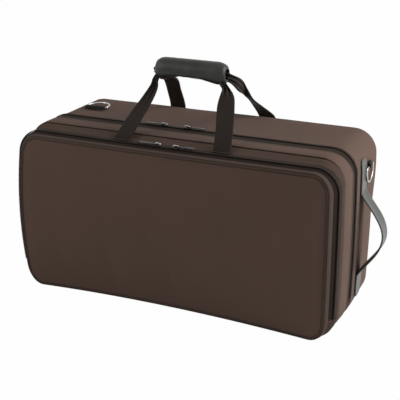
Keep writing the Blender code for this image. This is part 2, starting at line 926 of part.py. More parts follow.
def back_face_y(z):
    """The back face's crown below its rounded top edge."""
    below = HEIGHT + BACK_RISE - BACK_EDGE_RADIUS - z
    return BACK_Y + BACK_CROWN * min(1.0, max(0.0, below / CROWN_RUN))


def make_end_handle():
    lift = GAP + END_HANDLE_THICKNESS / 2
    top = HEIGHT - END_HANDLE_DROP
    upper_end = top - END_HANDLE_SEWN
    lower_end = END_HANDLE_BOTTOM + END_HANDLE_SEWN
    middle, bow = (upper_end + lower_end) / 2, (upper_end - lower_end) / 2
    sewn = [(top - END_HANDLE_SEWN * n / SEWN_STEPS, 0.0) for n in range(SEWN_STEPS)]
    path = list(sewn)
    for step in range(BOW_STEPS + 1):
        share = 1 - 2 * step / BOW_STEPS
        out = END_HANDLE_REACH * max(0.0, math.cos(share * math.pi / 2)) ** BOW_POWER
        path.append((middle + bow * share, out))
    path += [(END_HANDLE_BOTTOM + top - z, out) for z, out in reversed(sewn)]
    rows = []
    edges = [END_HANDLE_Y + END_HANDLE_WIDTH * share for share in (-0.5, 0.0, 0.5)]
    for z, out in path:
        rows.append([Vector((side_x(y, z) + lift + out, y, z)) for y in edges])
    sheet("end_handle", rows, END_HANDLE_THICKNESS, "end_leather")


# D-rings


def make_ring(name, bar, along, away, settle=0.0):
    """A D-ring in a folded webbing tab.

    bar is the point of the case under the ring's bar, along runs with the bar, away points from
    the sewn end of the tab to the ring, and settle is how far the case falls off under that end.
    """
    outwards = along.cross(away).normalized()
    ply = RING_TAB_PLY
    loop = RING_WIRE + GAP + ply / 2
    low = GAP + ply / 2
    centre = low + loop
    high = low + ply + GAP
    path = [(-RING_TAB_LENGTH, low - settle), (-RING_TAB_LENGTH / 2, low - settle * 0.3)]
    for step in range(RING_BEND_STEPS + 1):
        angle = math.radians(-90 + 240 * step / RING_BEND_STEPS)
        path.append((loop * math.cos(angle), centre + loop * math.sin(angle)))
    path += [(-3.2 * RING_WIRE, high), (-RING_TAB_LENGTH, high - settle)]
    half_tab = along * RING_TAB_WIDTH / 2
    rows = []
    for reach, out in path:
        place = bar + away * reach + outwards * out
        rows.append([place - half_tab, place + half_tab])
    sheet(f"{name}_ring_tab", rows, ply, "webbing")

    half = RING_WIDTH / 2 - RING_WIRE
    reach = RING_DEPTH - 2 * RING_WIRE
    curve = bpy.data.curves.new(f"{name}_ring", "CURVE")
    curve.dimensions = "3D"
    curve.bevel_depth = RING_WIRE
    curve.bevel_resolution = 2
    spline = curve.splines.new("POLY")
    spline.points.add(RING_STEPS)
    for number, point in enumerate(spline.points):
        turn = math.pi * number / RING_STEPS
        point.co = (*(along * half * math.cos(turn) + away * reach * math.sin(turn)), 1.0)
    spline.use_cyclic_u = True
    ring = add_object(f"{name}_ring", curve, "nickel")
    ring.location = bar + outwards * centre


def make_rings():
    left_x, left_y = LEFT_RING_PLACE
    lean = math.radians(LEFT_RING_LEAN)
    rise = math.atan2(BACK_RISE, SHELL_DEPTH - MAIN_TAPE)
    on_top = Vector((left_x, left_y, top_z(left_x, left_y) + LEFT_RING_CLEAR))
    make_ring(
        "left",
        on_top,
        Vector((math.cos(lean), 0.0, math.sin(lean))),
        Vector((0.0, math.cos(rise), math.sin(rise))),
    )
    right_y, right_z = RIGHT_RING_Y, HEIGHT - RIGHT_RING_DROP
    taper = math.atan2(BACK_TAPER, SHELL_DEPTH - MAIN_TAPE)
    tab_end = side_x(right_y, right_z + RING_TAB_LENGTH)
    hang = math.atan2(side_x(right_y, right_z) - tab_end, RING_TAB_LENGTH)
    on_side = Vector((side_x(right_y, right_z) + RIGHT_RING_CLEAR, right_y, right_z))
    make_ring(
        "right",
        on_side,
        Vector((math.sin(taper), -math.cos(taper), 0.0)),
        Vector((math.sin(hang) * 0.3, 0.0, -math.cos(hang))).normalized(),
        RIGHT_RING_SETTLE,
    )


# Instrument bed and what lies in it


def shifted(points, x, z):
    return [(px + x, pz + z) for px, pz in points]


def lofted(name, rings, finish, collection="double_trumpet_case"):
    """A solid through rings, closed at both ends."""
    bm = bmesh.new()
    rows = loft_faces(bm, rings)
    bm.faces.new(rows[0])
    bm.faces.new(rows[-1])
    bmesh.ops.recalc_face_normals(bm, faces=bm.faces)
    return add_mesh(name, bm, finish, collection=collection)


def block(name, points, y_low, y_high, finish, collection="double_trumpet_case"):
    """A solid outline in the XZ plane, carried from y_low to y_high."""
    return lofted(name, [ring_at(points, y_low), ring_at(points, y_high)], finish, collection)


def rounded(half_width, half_height, radius):
    return outline(half_width, -half_height, half_height, radius)


def bell_cutter(name, x_rim, towards, y, z):
    """The bell's pocket: its flare turned about the instrument's axis."""
    steps = 6
    y -= CUTTER_OVER / 4
    profile = [(0.0, 0.0), (0.0, BELL_RADIUS), (BELL_RIM_LENGTH, BELL_RADIUS)]
    throat = WELL_WIDTH / 2 - 0.004
    for step in range(1, steps + 1):
        share = step / steps
        radius = throat + (BELL_RADIUS - throat) * (1 - share) ** 2.2
        profile.append((BELL_RIM_LENGTH + BELL_FLARE_LENGTH * share, radius))
    profile.append((BELL_RIM_LENGTH + BELL_FLARE_LENGTH, 0.0))
    bm = bmesh.new()
    verts = [bm.verts.new((x_rim + towards * along, y, z + radius)) for along, radius in profile]
    edges = [bm.edges.new(pair) for pair in zip(verts, verts[1:])]
    bmesh.ops.spin(
        bm,
        geom=verts + edges,
        cent=(x_rim, y, z),
        axis=(1, 0, 0),
        angle=2 * math.pi,
        steps=ROUND_STEPS + 4,
        use_merge=True,
    )
    bmesh.ops.remove_doubles(bm, verts=bm.verts, dist=1e-6)
    bmesh.ops.recalc_face_normals(bm, faces=bm.faces)
    return as_cutter(add_mesh(name, bm, "foam", collection="cutters"))


def make_bed():
    back = BACK_Y - BED_INSET
    front = back - BED_DEPTH
    edge = LINING_EDGE
    rings = []
    for y, pulled in ((front, 0.0), (back - edge, 0.0), (back, edge)):
        taper, rise = back_station(y - ZIP_Y)
        rings.append(ring_at(case_outline(BED_INSET + pulled, taper, rise), y))
    bed = lofted("instrument_bed", rings, "foam")
    out = front - CUTTER_OVER
    floor = back - BED_FLOOR
    centre_z = CENTRE_Z
    for side, word in ((-1, "lower"), (1, "upper")):
        z = centre_z + side * WELL_SPACING / 2
        well = block(
            f"{word}_well",
            shifted(rounded(WELL_LENGTH / 2, WELL_WIDTH / 2, 0.024), 0.0, z),
            out,
            floor,
            "foam",
            collection="cutters",
        )
        boolean(bed, as_cutter(well), "DIFFERENCE")
        bell = bell_cutter(f"{word}_bell", side * BELL_RIM_X, -side, front, z)
        boolean(bed, bell, "DIFFERENCE")
        make_retainer(word, side, z, front)

    inserts = {
        "accessory": (0.0, ACCESSORY_LENGTH),
        "left_mouthpiece": (-MOUTHPIECE_PLACE, MOUTHPIECE_LENGTH),
        "right_mouthpiece": (MOUTHPIECE_PLACE, MOUTHPIECE_LENGTH),
    }
    for name, (x, length) in inserts.items():
        pocket = block(
            f"{name}_pocket",
            shifted(rounded(length / 2 + SEAT, INSERT_WIDTH / 2 + SEAT, 0.004), x, centre_z),
            out,
            front + INSERT_DEPTH + SEAT,
            "foam",
            collection="cutters",
        )
        boolean(bed, as_cutter(pocket), "DIFFERENCE")
    make_accessory_box(front)
    for name in ("left_mouthpiece", "right_mouthpiece"):
        x, length = inserts[name]
        make_mouthpiece_block(name, x, length, front)


def make_accessory_box(front):
    points = rounded(ACCESSORY_LENGTH / 2, INSERT_WIDTH / 2, 0.004)
    points = shifted(points, 0.0, CENTRE_Z)
    rings = [ring_at(points, front), ring_at(points, front + INSERT_DEPTH)]
    tray("accessory_box", rings, ACCESSORY_WALL, "plush")
    hinge_z = CENTRE_Z - INSERT_WIDTH / 2
    hinge = pivot("accessory_lid_pivot", (0.0, front - GAP - ACCESSORY_LID / 2, hinge_z))
    half = ACCESSORY_LENGTH / 2 - SEAT
    lid = box(
        "accessory_lid",
        (-half, front - GAP - ACCESSORY_LID, hinge_z),
        (half, front - GAP, hinge_z + INSERT_WIDTH),
        "plush",
    )
    bevel(lid, 0.0008, 1)
    top = hinge_z + INSERT_WIDTH
    tab_y = front - 2 * GAP - ACCESSORY_LID - ACCESSORY_TAB_PLY / 2
    rows = []
    for out, z in (
        (0.0, top - ACCESSORY_TAB_SEWN),
        (0.0, top - ACCESSORY_TAB_FREE),
        (0.0015, top + ACCESSORY_TAB_FREE),
    ):
        rows.append([Vector((x, tab_y - out, z)) for x in (-ACCESSORY_TAB_HALF, ACCESSORY_TAB_HALF)])
    tab = sheet("accessory_lid_tab", rows, ACCESSORY_TAB_PLY, "webbing")
    for piece in (lid, tab):
        hang_on(piece, hinge)


def make_mouthpiece_block(name, x, length, front):
    points = shifted(rounded(length / 2, INSERT_WIDTH / 2, 0.004), x, CENTRE_Z)
    body = block(f"{name}_block", points, front, front + INSERT_DEPTH, "plush")
    spacing = length / MOUTHPIECE_HOLES
    for number in range(MOUTHPIECE_HOLES):
        hole_x = x + spacing * (number - (MOUTHPIECE_HOLES - 1) / 2)
        hole = rod(
            f"{name}_hole_{number}",
            (hole_x, front - 0.002, CENTRE_Z),
            (hole_x, front + INSERT_DEPTH - 0.006, CENTRE_Z),
            MOUTHPIECE_RADIUS,
            "plush",
        )
        boolean(body, as_cutter(hole), "DIFFERENCE")


def make_retainer(word, side, z, front):
    """A webbing strap across a well, sewn on the ridge, with its hook patch on the outer rim."""
    x = -side * RETAINER_PLACE
    sewn_z = z - side * (WELL_WIDTH / 2 + 0.002)
    free_z = z + side * (WELL_WIDTH / 2 + RETAINER_OVERLAP)
    thick = RETAINER_THICKNESS
    hinge = pivot(f"{word}_retainer_pivot", (x, front - GAP - thick / 2, sewn_z))
    half = Vector((RETAINER_WIDTH / 2, 0, 0))
    rows = []
    for share in (0.0, 0.25, 0.75, 1.0):
        lift = GAP + thick / 2 + (HOOK_PATCH + GAP) * min(1.0, share * 4)
        centre = Vector((x, front - lift, sewn_z + (free_z - sewn_z) * share))
        rows.append([centre - half, centre + half])
    hang_on(sheet(f"{word}_retaining_strap", rows, thick, "webbing"), hinge)
    reach = RETAINER_OVERLAP * 0.8
    low_z = min(free_z, free_z - side * reach)
    half_patch = RETAINER_WIDTH / 2 - HOOK_PATCH_MARGIN
    box(
        f"{word}_hook_patch",
        (x - half_patch, front - GAP - HOOK_PATCH, low_z),
        (x + half_patch, front - GAP, low_z + reach),
        "black_plastic",
    )


def main():
    clear_scene()
    make_collection("double_trumpet_case")
    make_collection("cutters")
    make_back_shell()
    make_lid()
    make_main_zip()
    make_pocket_gusset()
    make_pocket_panel()
    make_pocket_zip()
    make_sliders()
    make_front_handle()
    make_rear_handle()
    make_end_handle()
    make_rings()
    make_bed()


main()
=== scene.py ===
"""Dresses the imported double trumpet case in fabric, webbing, zips, leather and metal."""
import logging
import math
from bisect import bisect_right
from dataclasses import dataclass, field, replace
from enum import Enum
from typing import Callable, Iterable, Optional, Sequence, Union

import bmesh
import bpy
from mathutils import Matrix, Vector, noise


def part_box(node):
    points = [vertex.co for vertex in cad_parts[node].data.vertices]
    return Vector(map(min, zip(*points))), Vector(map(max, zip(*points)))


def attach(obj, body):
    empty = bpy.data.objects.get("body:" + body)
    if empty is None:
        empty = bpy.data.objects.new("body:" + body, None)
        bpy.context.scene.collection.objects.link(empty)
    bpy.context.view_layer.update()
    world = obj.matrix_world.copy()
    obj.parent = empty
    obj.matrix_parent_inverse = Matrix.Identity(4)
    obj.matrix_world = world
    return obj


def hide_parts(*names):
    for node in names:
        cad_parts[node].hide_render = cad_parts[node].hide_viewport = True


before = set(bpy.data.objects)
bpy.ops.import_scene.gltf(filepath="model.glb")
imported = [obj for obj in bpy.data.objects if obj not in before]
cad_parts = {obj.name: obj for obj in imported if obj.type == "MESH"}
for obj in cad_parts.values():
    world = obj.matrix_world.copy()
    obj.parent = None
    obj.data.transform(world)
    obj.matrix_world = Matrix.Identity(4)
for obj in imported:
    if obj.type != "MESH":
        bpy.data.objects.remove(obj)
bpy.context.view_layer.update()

LOG = logging.getLogger("double_trumpet_case")

Colour = tuple[float, float, float]
Number = Union[float, "Value"]


# Shader graphs


class Value:
    """A socket of a shader graph, on which arithmetic adds Math nodes."""

    def __init__(self, graph: "Graph", socket: bpy.types.NodeSocket) -> None:
        """Wraps a socket.

        Args:
            graph: The graph that the socket belongs to.
            socket: The output socket.
        """
        self.graph = graph
        self.socket = socket

    def __add__(self, other: Number) -> "Value":
        """The sum."""
        return self.graph.math("ADD", self, other)

    def __radd__(self, other: Number) -> "Value":
        """The sum, with a number in front."""
        return self.graph.math("ADD", other, self)

    def __sub__(self, other: Number) -> "Value":
        """The difference."""
        return self.graph.math("SUBTRACT", self, other)

    def __rsub__(self, other: Number) -> "Value":
        """The difference from a number."""
        return self.graph.math("SUBTRACT", other, self)

    def __mul__(self, other: Number) -> "Value":
        """The product."""
        return self.graph.math("MULTIPLY", self, other)

    def __rmul__(self, other: Number) -> "Value":
        """The product, with a number in front."""
        return self.graph.math("MULTIPLY", other, self)

    def __truediv__(self, other: Number) -> "Value":
        """The quotient."""
        return self.graph.math("DIVIDE", self, other)

    def __gt__(self, other: Number) -> "Value":
        """One where this is the greater."""
        return self.graph.math("GREATER_THAN", self, other)

    def sine(self) -> "Value":
        """The sine."""
        return self.graph.math("SINE", self)

    def size(self) -> "Value":
        """The absolute value."""
        return self.graph.math("ABSOLUTE", self)

    def power(self, other: Number) -> "Value":
        """This raised to a power."""
        return self.graph.math("POWER", self, other)


class Graph:
    """The node tree of one material, with its Principled shader."""

    def __init__(self, name: str) -> None:
        """Makes a material with an empty look.

        Args:
            name: The material's name.
        """
        self.material = bpy.data.materials.new(name)
        self.material.use_nodes = True
        self.tree = self.material.node_tree
        self.shader = self.tree.nodes["Principled BSDF"]

    def feed(self, socket: bpy.types.NodeSocket, value: object) -> None:
        """Links a value to a socket, or sets it there.

        Args:
            socket: The input socket.
            value: A Value, a number, a vector or a colour.
        """
        if isinstance(value, Value):
            self.tree.links.new(value.socket, socket)
        else:
            socket.default_value = value

    def make(
        self,
        kind: str,
        settings: Optional[dict] = None,
        inputs: Optional[dict] = None,
        output: Union[int, str] = 0,
    ) -> Value:
        """Adds a node.

        Args:
            kind: The node's type.
            settings: Its settings, set first. "stops" gives a ramp's places and colours.
            inputs: Values or links by socket.
            output: The socket that is returned.

        Returns:
            The chosen output.
        """
        node = self.tree.nodes.new(kind)
        for name, setting in (settings or {}).items():
            if name == "stops":
                elements = node.color_ramp.elements
                while len(elements) < len(setting):
                    elements.new(1.0)
                for element, (place, colour) in zip(elements, setting):
                    element.position = place
                    element.color = colour
            else:
                setattr(node, name, setting)
        for name, value in (inputs or {}).items():
            self.feed(node.inputs[name], value)
        return Value(self, node.outputs[output])

    def math(self, operation: str, *values: Number) -> Value:
        """Adds a Math node.

        Args:
            operation: Its operation.
            values: Its values or links in order.

        Returns:
            Its result.
        """
        return self.make("ShaderNodeMath", {"operation": operation}, dict(enumerate(values)))

    def mix(self, share: Number, first: object, second: object) -> Value:
        """Mixes two colours.

        Args:
            share: How much of the second.
            first: A colour with alpha, or a Value.
            second: A colour with alpha, or a Value.

        Returns:
            The mixed colour.
        """
        return self.make(
            "ShaderNodeMix",
            {"data_type": "RGBA"},
            {0: share, 6: first, 7: second},
            output=2,
        )

    def noise(self, place: Value, scale: float, detail: float = 2.0) -> Value:
        """Soft noise about one half.

        Args:
            place: The coordinates.
            scale: Features to the metre.
            detail: How many finer layers.

        Returns:
            The noise's factor.
        """
        return self.make(
            "ShaderNodeTexNoise",
            {"noise_dimensions": "3D"},
            {"Vector": place, "Scale": scale, "Detail": detail},
            output="Fac",
        )

    def apart(self, vector: Value) -> tuple[Value, Value, Value]:
        """The three parts of a vector."""
        node = self.tree.nodes.new("ShaderNodeSeparateXYZ")
        self.feed(node.inputs[0], vector)
        return tuple(Value(self, node.outputs[number]) for number in range(3))

    def object_place(self) -> Value:
        """Object coordinates, in metres."""
        return self.make("ShaderNodeTexCoord", output="Object")

    def uv(self) -> Value:
        """The piece's own UV map, in metres."""
        return self.make("ShaderNodeTexCoord", output="UV")

    def facing(self) -> tuple[Value, Value, Value]:
        """How far the surface faces along each of the object's axes, either way."""
        x, y, z = self.apart(self.make("ShaderNodeTexCoord", output="Normal"))
        return x.size(), y.size(), z.size()

    def flat_place(self) -> tuple[Value, Value]:
        """Two coordinates along the surface, by the side that it faces."""
        x, y, z = self.apart(self.object_place())
        across, deep, upright = self.facing()
        to_side = (across > deep) * (across > upright)
        to_top = (upright > deep) * (upright > across)
        first = x + to_side * (y - x)
        second = z + to_top * (y - z)
        return first, second

    def colour(self, value: object) -> None:
        """Feeds the base colour."""
        self.feed(self.shader.inputs["Base Color"], value)

    def roughness(self, value: object) -> None:
        """Feeds the roughness."""
        self.feed(self.shader.inputs["Roughness"], value)

    def constant(self, name: str, value: object) -> None:
        """Sets one of the shader's sockets to a value that is the same all over."""
        self.shader.inputs[name].default_value = value

    def bump(self, height: Value, depth: float, strength: float = 1.0) -> None:
        """Feeds the normal from a height between zero and one.

        Args:
            height: The height.
            depth: What a height of one stands for, in metres.
            strength: How strongly it shows.
        """
        made = self.make(
            "ShaderNodeBump",
            {},
            {"Strength": strength, "Distance": depth, "Height": height},
        )
        self.feed(self.shader.inputs["Normal"], made)


def alpha(colour: Colour, factor: float = 1.0) -> tuple[float, float, float, float]:
    """A colour times a factor, with full alpha."""
    return (colour[0] * factor, colour[1] * factor, colour[2] * factor, 1.0)


class Mapping(Enum):
    """How a woven pattern finds its place on a piece."""

    FACES = "by the side that the surface faces"
    LENGTH = "along the piece's own length"


@dataclass(frozen=True)
class Finish:
    """What every finish has: a name, the record's slot and a base colour."""

    name: str
    slot: str
    base: Colour

    def material(self) -> bpy.types.Material:
        """The finish's material, made on first use."""
        title = f"{self.name}_finish"
        made = bpy.data.materials.get(title)
        if made:
            return made
        graph = Graph(title)
        self.paint(graph)
        return graph.material

    def paint(self, graph: Graph) -> None:
        """Adds the finish's nodes to a graph."""
        raise NotImplementedError


@dataclass(frozen=True)
class WovenCloth(Finish):
    """Plain-woven fabric with slubs and slow changes of shade."""

    thread: float = 0.0011
    mottle: float = 0.10
    rough: float = 0.82
    sheen: float = 0.03
    mapping: Mapping = Mapping.FACES
    # Below one, surfaces that face along X are darkened towards this level: painted shade.
    painted_side_shade: float = 1.0

    def paint(self, graph: Graph) -> None:
        """Adds the weave, its mottled shading, painted shade where the surface faces along X, and its bump."""
        place = graph.object_place()
        if self.mapping is Mapping.FACES:
            first, second = graph.flat_place()
        else:
            first, second, _ = graph.apart(graph.uv())
        turns = 2 * math.pi / self.thread
        weave = (first * turns).sine() * (second * turns).sine() * 0.5 + 0.5
        slubs = graph.noise(place, 900.0, 2.0)
        shade = graph.noise(place, 9.0, 3.0)
        light = weave * 0.55 + slubs * 0.45
        level = light * 0.30 + 0.85 + (shade - 0.5) * (2.0 * self.mottle)
        # Painted shade: faces turned along X are darkened as if out of the light.
        if self.painted_side_shade < 1.0:
            sideways, _, _ = graph.facing()
            level = level * (1.0 - sideways * sideways * (1.0 - self.painted_side_shade))
        dark = graph.mix(level * 0.5, alpha(self.base, 0.30), alpha(self.base, 1.70))
        graph.colour(dark)
        graph.roughness(self.rough + (slubs - 0.5) * 0.12)
        graph.constant("Sheen Weight", self.sheen)
        graph.constant("Sheen Roughness", 0.45)
        graph.constant("Specular IOR Level", 0.07)
        graph.bump(light, 0.00022, 0.7)


@dataclass(frozen=True)
class RibbedWebbing(Finish):
    """Strap webbing with ribs across it and firm edges, on the strap's own length."""

    rib: float = 0.0019
    width: float = 0.030

    def paint(self, graph: Graph) -> None:
        """Adds the ribs, the edges and the wear."""
        across, along, _ = graph.apart(graph.uv())
        ribs = (along * (2 * math.pi / self.rib)).sine() * 0.5 + 0.5
        cords = (across * (2 * math.pi / (self.rib * 1.15))).sine() * 0.5 + 0.5
        edge = (across.size() > self.width / 2 - 0.0016) * 1.0
        wear = graph.noise(graph.object_place(), 60.0, 3.0)
        height = ribs * 0.55 + cords * 0.45
        level = height * 0.34 + 0.78 + (wear - 0.5) * 0.3 + edge * 0.12
        graph.colour(graph.mix(level * 0.5, alpha(self.base, 0.3), alpha(self.base, 1.7)))
        graph.roughness(0.62 + (wear - 0.5) * 0.2)
        graph.constant("Specular IOR Level", 0.12)
        graph.constant("Sheen Weight", 0.02)
        graph.bump(height, 0.00035, 0.9)


@dataclass(frozen=True)
class Leather(Finish):
    """Soft coated leather: fine grain, creases and a broad sheen."""

    rough: float = 0.42
    grain: float = 620.0
    creases: float = 55.0
    crease_depth: float = 0.0011
    worn: Colour = (0.20, 0.21, 0.19)
    worn_share: float = 0.35
    specular: float = 0.45

    def paint(self, graph: Graph) -> None:
        """Adds the grain, the creases and the worn shade."""
        place = graph.object_place()
        cells = graph.make(
            "ShaderNodeTexVoronoi",
            {"feature": "DISTANCE_TO_EDGE"},
            {"Vector": place, "Scale": self.grain},
            output="Distance",
        )
        folds = graph.noise(place, self.creases, 4.0)
        broad = graph.noise(place, 14.0, 2.0)
        rubbed = graph.make(
            "ShaderNodeMapRange",
            {},
            {"Value": broad, "From Min": 0.42, "From Max": 0.68, "To Max": self.worn_share},
        )
        level = cells * 0.9 + folds * 0.6 + 0.25
        body = graph.mix(level * 0.5, alpha(self.base, 0.35), alpha(self.base, 1.65))
        graph.colour(graph.mix(rubbed, body, alpha(self.worn)))
        graph.roughness(self.rough + (folds - 0.5) * 0.25)
        graph.constant("Specular IOR Level", self.specular)
        height = cells * 0.18 + folds * 0.82
        graph.bump(height, self.crease_depth, 0.6)


@dataclass(frozen=True)
class PlatedMetal(Finish):
    """Plated metal with fine scratches and dull patches."""

    rough: float = 0.24
    tarnish: Colour = (0.10, 0.09, 0.08)
    tarnish_share: float = 0.25

    def paint(self, graph: Graph) -> None:
        """Adds the scratches and the dull patches."""
        place = graph.object_place()
        patches = graph.noise(place, 140.0, 4.0)
        scratches = graph.noise(place, 1500.0, 2.0)
        dull = graph.make(
            "ShaderNodeMapRange",
            {},
            {"Value": patches, "From Min": 0.5, "From Max": 0.75, "To Max": self.tarnish_share},
        )
        graph.colour(graph.mix(dull, alpha(self.base), alpha(self.tarnish)))
        graph.constant("Metallic", 1.0)
        graph.roughness(self.rough + dull * 0.5 + (scratches - 0.5) * 0.12)
        graph.bump(scratches, 0.00004, 0.5)


@dataclass(frozen=True)
class Plush(Finish):
    """Short pile that catches the light in brushed patches."""

    def paint(self, graph: Graph) -> None:
        """Adds the pile and its brushed patches."""
        place = graph.object_place()
        pile = graph.noise(place, 1400.0, 3.0)
        brushed = graph.noise(place, 22.0, 3.0)
        level = pile * 0.6 + brushed * 0.8 + 0.3
        graph.colour(graph.mix(level * 0.5, alpha(self.base, 0.3), alpha(self.base, 1.7)))
        graph.roughness(0.9 + (pile - 0.5) * 0.1)
        graph.constant("Sheen Weight", 0.5)
        graph.constant("Sheen Roughness", 0.35)
        graph.constant("Specular IOR Level", 0.1)
        graph.bump(pile * 0.7 + brushed * 0.3, 0.0006, 0.8)


@dataclass(frozen=True)
class MouldedPlastic(Finish):
    """Moulded nylon with a fine texture."""

    rough: float = 0.45
    specular: float = 0.3

    def paint(self, graph: Graph) -> None:
        """Adds the moulded texture."""
        place = graph.object_place()
        texture = graph.noise(place, 800.0, 3.0)
        scuffs = graph.noise(place, 90.0, 4.0)
        level = texture * 0.4 + scuffs * 0.5 + 0.55
        graph.colour(graph.mix(level * 0.5, alpha(self.base, 0.4), alpha(self.base, 1.6)))
        graph.roughness(self.rough + (scuffs - 0.5) * 0.3)
        graph.constant("Specular IOR Level", self.specular)
        graph.bump(texture, 0.00008, 0.6)


BROWN_CLOTH = WovenCloth("brown_cloth", "brown_fabric", (0.170, 0.113, 0.090))
FRONT_CLOTH = WovenCloth("front_cloth", "brown_fabric", (0.165, 0.107, 0.083))
DARK_CLOTH = WovenCloth("dark_cloth", "brown_fabric", (0.075, 0.051, 0.041), thread=0.0009)
# The brown fabric made darker for the gusset as painted shade; its sideways-facing parts get more painted shade.
SHADED_GUSSET_CLOTH = WovenCloth("gusset_painted_shade_cloth", "brown_fabric", (0.134, 0.090, 0.072), painted_side_shade=0.40)
EDGE_CLOTH = WovenCloth("edge_cloth", "piping", (0.165, 0.116, 0.095), thread=0.0009, rough=0.7)
PIPING_CLOTH = WovenCloth("piping_cloth", "piping", (0.112, 0.079, 0.066), thread=0.0009, rough=0.7)
TAPE_CLOTH = WovenCloth("tape_cloth", "zip_tape", (0.038, 0.0265, 0.0205), thread=0.0007)
# Dark cloth for the cords in two seams: their dark colour is painted shade in the crease.
SEAM_SHADE_CLOTH = WovenCloth("seam_shade_cloth", "piping", (0.086, 0.057, 0.046), thread=0.0007)
WEBBING = RibbedWebbing("strap_webbing", "webbing", (0.044, 0.0335, 0.0275))
TAB_WEBBING = RibbedWebbing("tab_webbing", "webbing", (0.030, 0.0265, 0.0225), width=0.034)
GRIP_LEATHER = Leather(
    "grip_leather", "grip_leather", (0.021, 0.0190, 0.0165), rough=0.34, worn=(0.095, 0.098, 0.086), worn_share=0.40, specular=0.32
)
STRAP_LEATHER = Leather(
    "strap_leather",
    "end_leather",
    (0.084, 0.091, 0.080),
    rough=0.36,
    creases=30.0,
    crease_depth=0.0004,
    worn=(0.19, 0.20, 0.185),
    specular=0.35,
)
NICKEL = PlatedMetal("nickel", "nickel", (0.62, 0.61, 0.58))
DARK_METAL = PlatedMetal("dark_metal", "dark_metal", (0.022, 0.021, 0.020), rough=0.22)
# A brighter copy of the sliders' dark metal, worn by the bridges so that they glint: painted highlight.
GLINT_METAL = PlatedMetal("painted_glint_metal", "dark_metal", (0.50, 0.49, 0.46), rough=0.16)
PILE = Plush("plush_lining", "plush", (0.060, 0.044, 0.037))
BED_PILE = Plush("bed_plush", "foam", (0.050, 0.037, 0.032))
TEETH = MouldedPlastic("zip_teeth", "zip_tape", (0.042, 0.0305, 0.0245), rough=0.65, specular=0.12)
THREAD = MouldedPlastic("thread", "piping", (0.080, 0.059, 0.049), rough=0.6)
PALE_THREAD = MouldedPlastic("pale_thread", "end_leather", (0.20, 0.20, 0.185), rough=0.6)
HOOKS = MouldedPlastic("hook_tape", "black_plastic", (0.020, 0.020, 0.020), rough=0.6)


# Pieces


def add_piece(
    name: str,
    bm: bmesh.types.BMesh,
    finish: Finish,
    body: str,
    nodes: Sequence[str] = (),
    sharp: float = 50.0,
) -> bpy.types.Object:
    """Turns a finished bmesh into a piece that rides on a body.

    Args:
        name: The piece's name.
        bm: Its mesh, which is freed.
        finish: What it is made of.
        body: The body that it rides on.
        nodes: The CAD nodes that it stands for.
        sharp: Edges with a greater angle than this, in degrees, stay sharp.

    Returns:
        The piece.
    """
    mesh = bpy.data.meshes.new(name)
    bm.to_mesh(mesh)
    bm.free()
    mesh.shade_smooth()
    mesh.set_sharp_from_angle(angle=math.radians(sharp))
    mesh.materials.append(finish.material())
    piece = bpy.data.objects.new(name, mesh)
    bpy.context.scene.collection.objects.link(piece)
    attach(piece, body)
    if nodes:
        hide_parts(*nodes)
    LOG.info("%s rides on %s with %d faces", name, body, len(mesh.polygons))
    return piece


def dress_node(node: str, finish: Finish) -> None:
    """Gives a CAD node a finish.

    Args:
        node: The node's name.
        finish: What it is made of.
    """
    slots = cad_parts[node].data.materials
    slots.clear()
    slots.append(finish.material())
    LOG.info("%s is dressed in %s", node, finish.name)


@dataclass(frozen=True)
class Step:
    """A place on a track, with the directions across and out of it."""

    place: Vector
    across: Vector
    out: Vector


class Track:
    """A way along the case that straps, tapes, teeth and stitches follow."""

    def __init__(self, steps: Sequence[Step], closed: bool = False) -> None:
        """Measures the way.

        Args:
            steps: Its steps in order.
            closed: Whether it ends where it starts.
        """
        self.steps = list(steps) + ([steps[0]] if closed else [])
        self.closed = closed
        self.distances = [0.0]
        for before, after in zip(self.steps, self.steps[1:]):
            self.distances.append(self.distances[-1] + (after.place - before.place).length)
        self.length = self.distances[-1]

    def at(self, distance: float) -> Step:
        """The step at a distance from the start.

        Args:
            distance: The distance in metres.

        Returns:
            The step between its two neighbours.
        """
        number = min(max(bisect_right(self.distances, distance) - 1, 0), len(self.steps) - 2)
        start, end = self.distances[number], self.distances[number + 1]
        share = min(max((distance - start) / max(end - start, 1e-9), 0.0), 1.0)
        before, after = self.steps[number], self.steps[number + 1]
        return Step(
            before.place.lerp(after.place, share),
            before.across.lerp(after.across, share),
            before.out.lerp(after.out, share).normalized(),
        )

    def moved(self, across: float = 0.0, out: float = 0.0) -> "Track":
        """A track beside this one.

        Args:
            across: How far across.
            out: How far out.

        Returns:
            The new track.
        """
        steps = [
            Step(step.place + step.across * across + step.out * out, step.across, step.out)
            for step in (self.steps[:-1] if self.closed else self.steps)
        ]
        return Track(steps, self.closed)


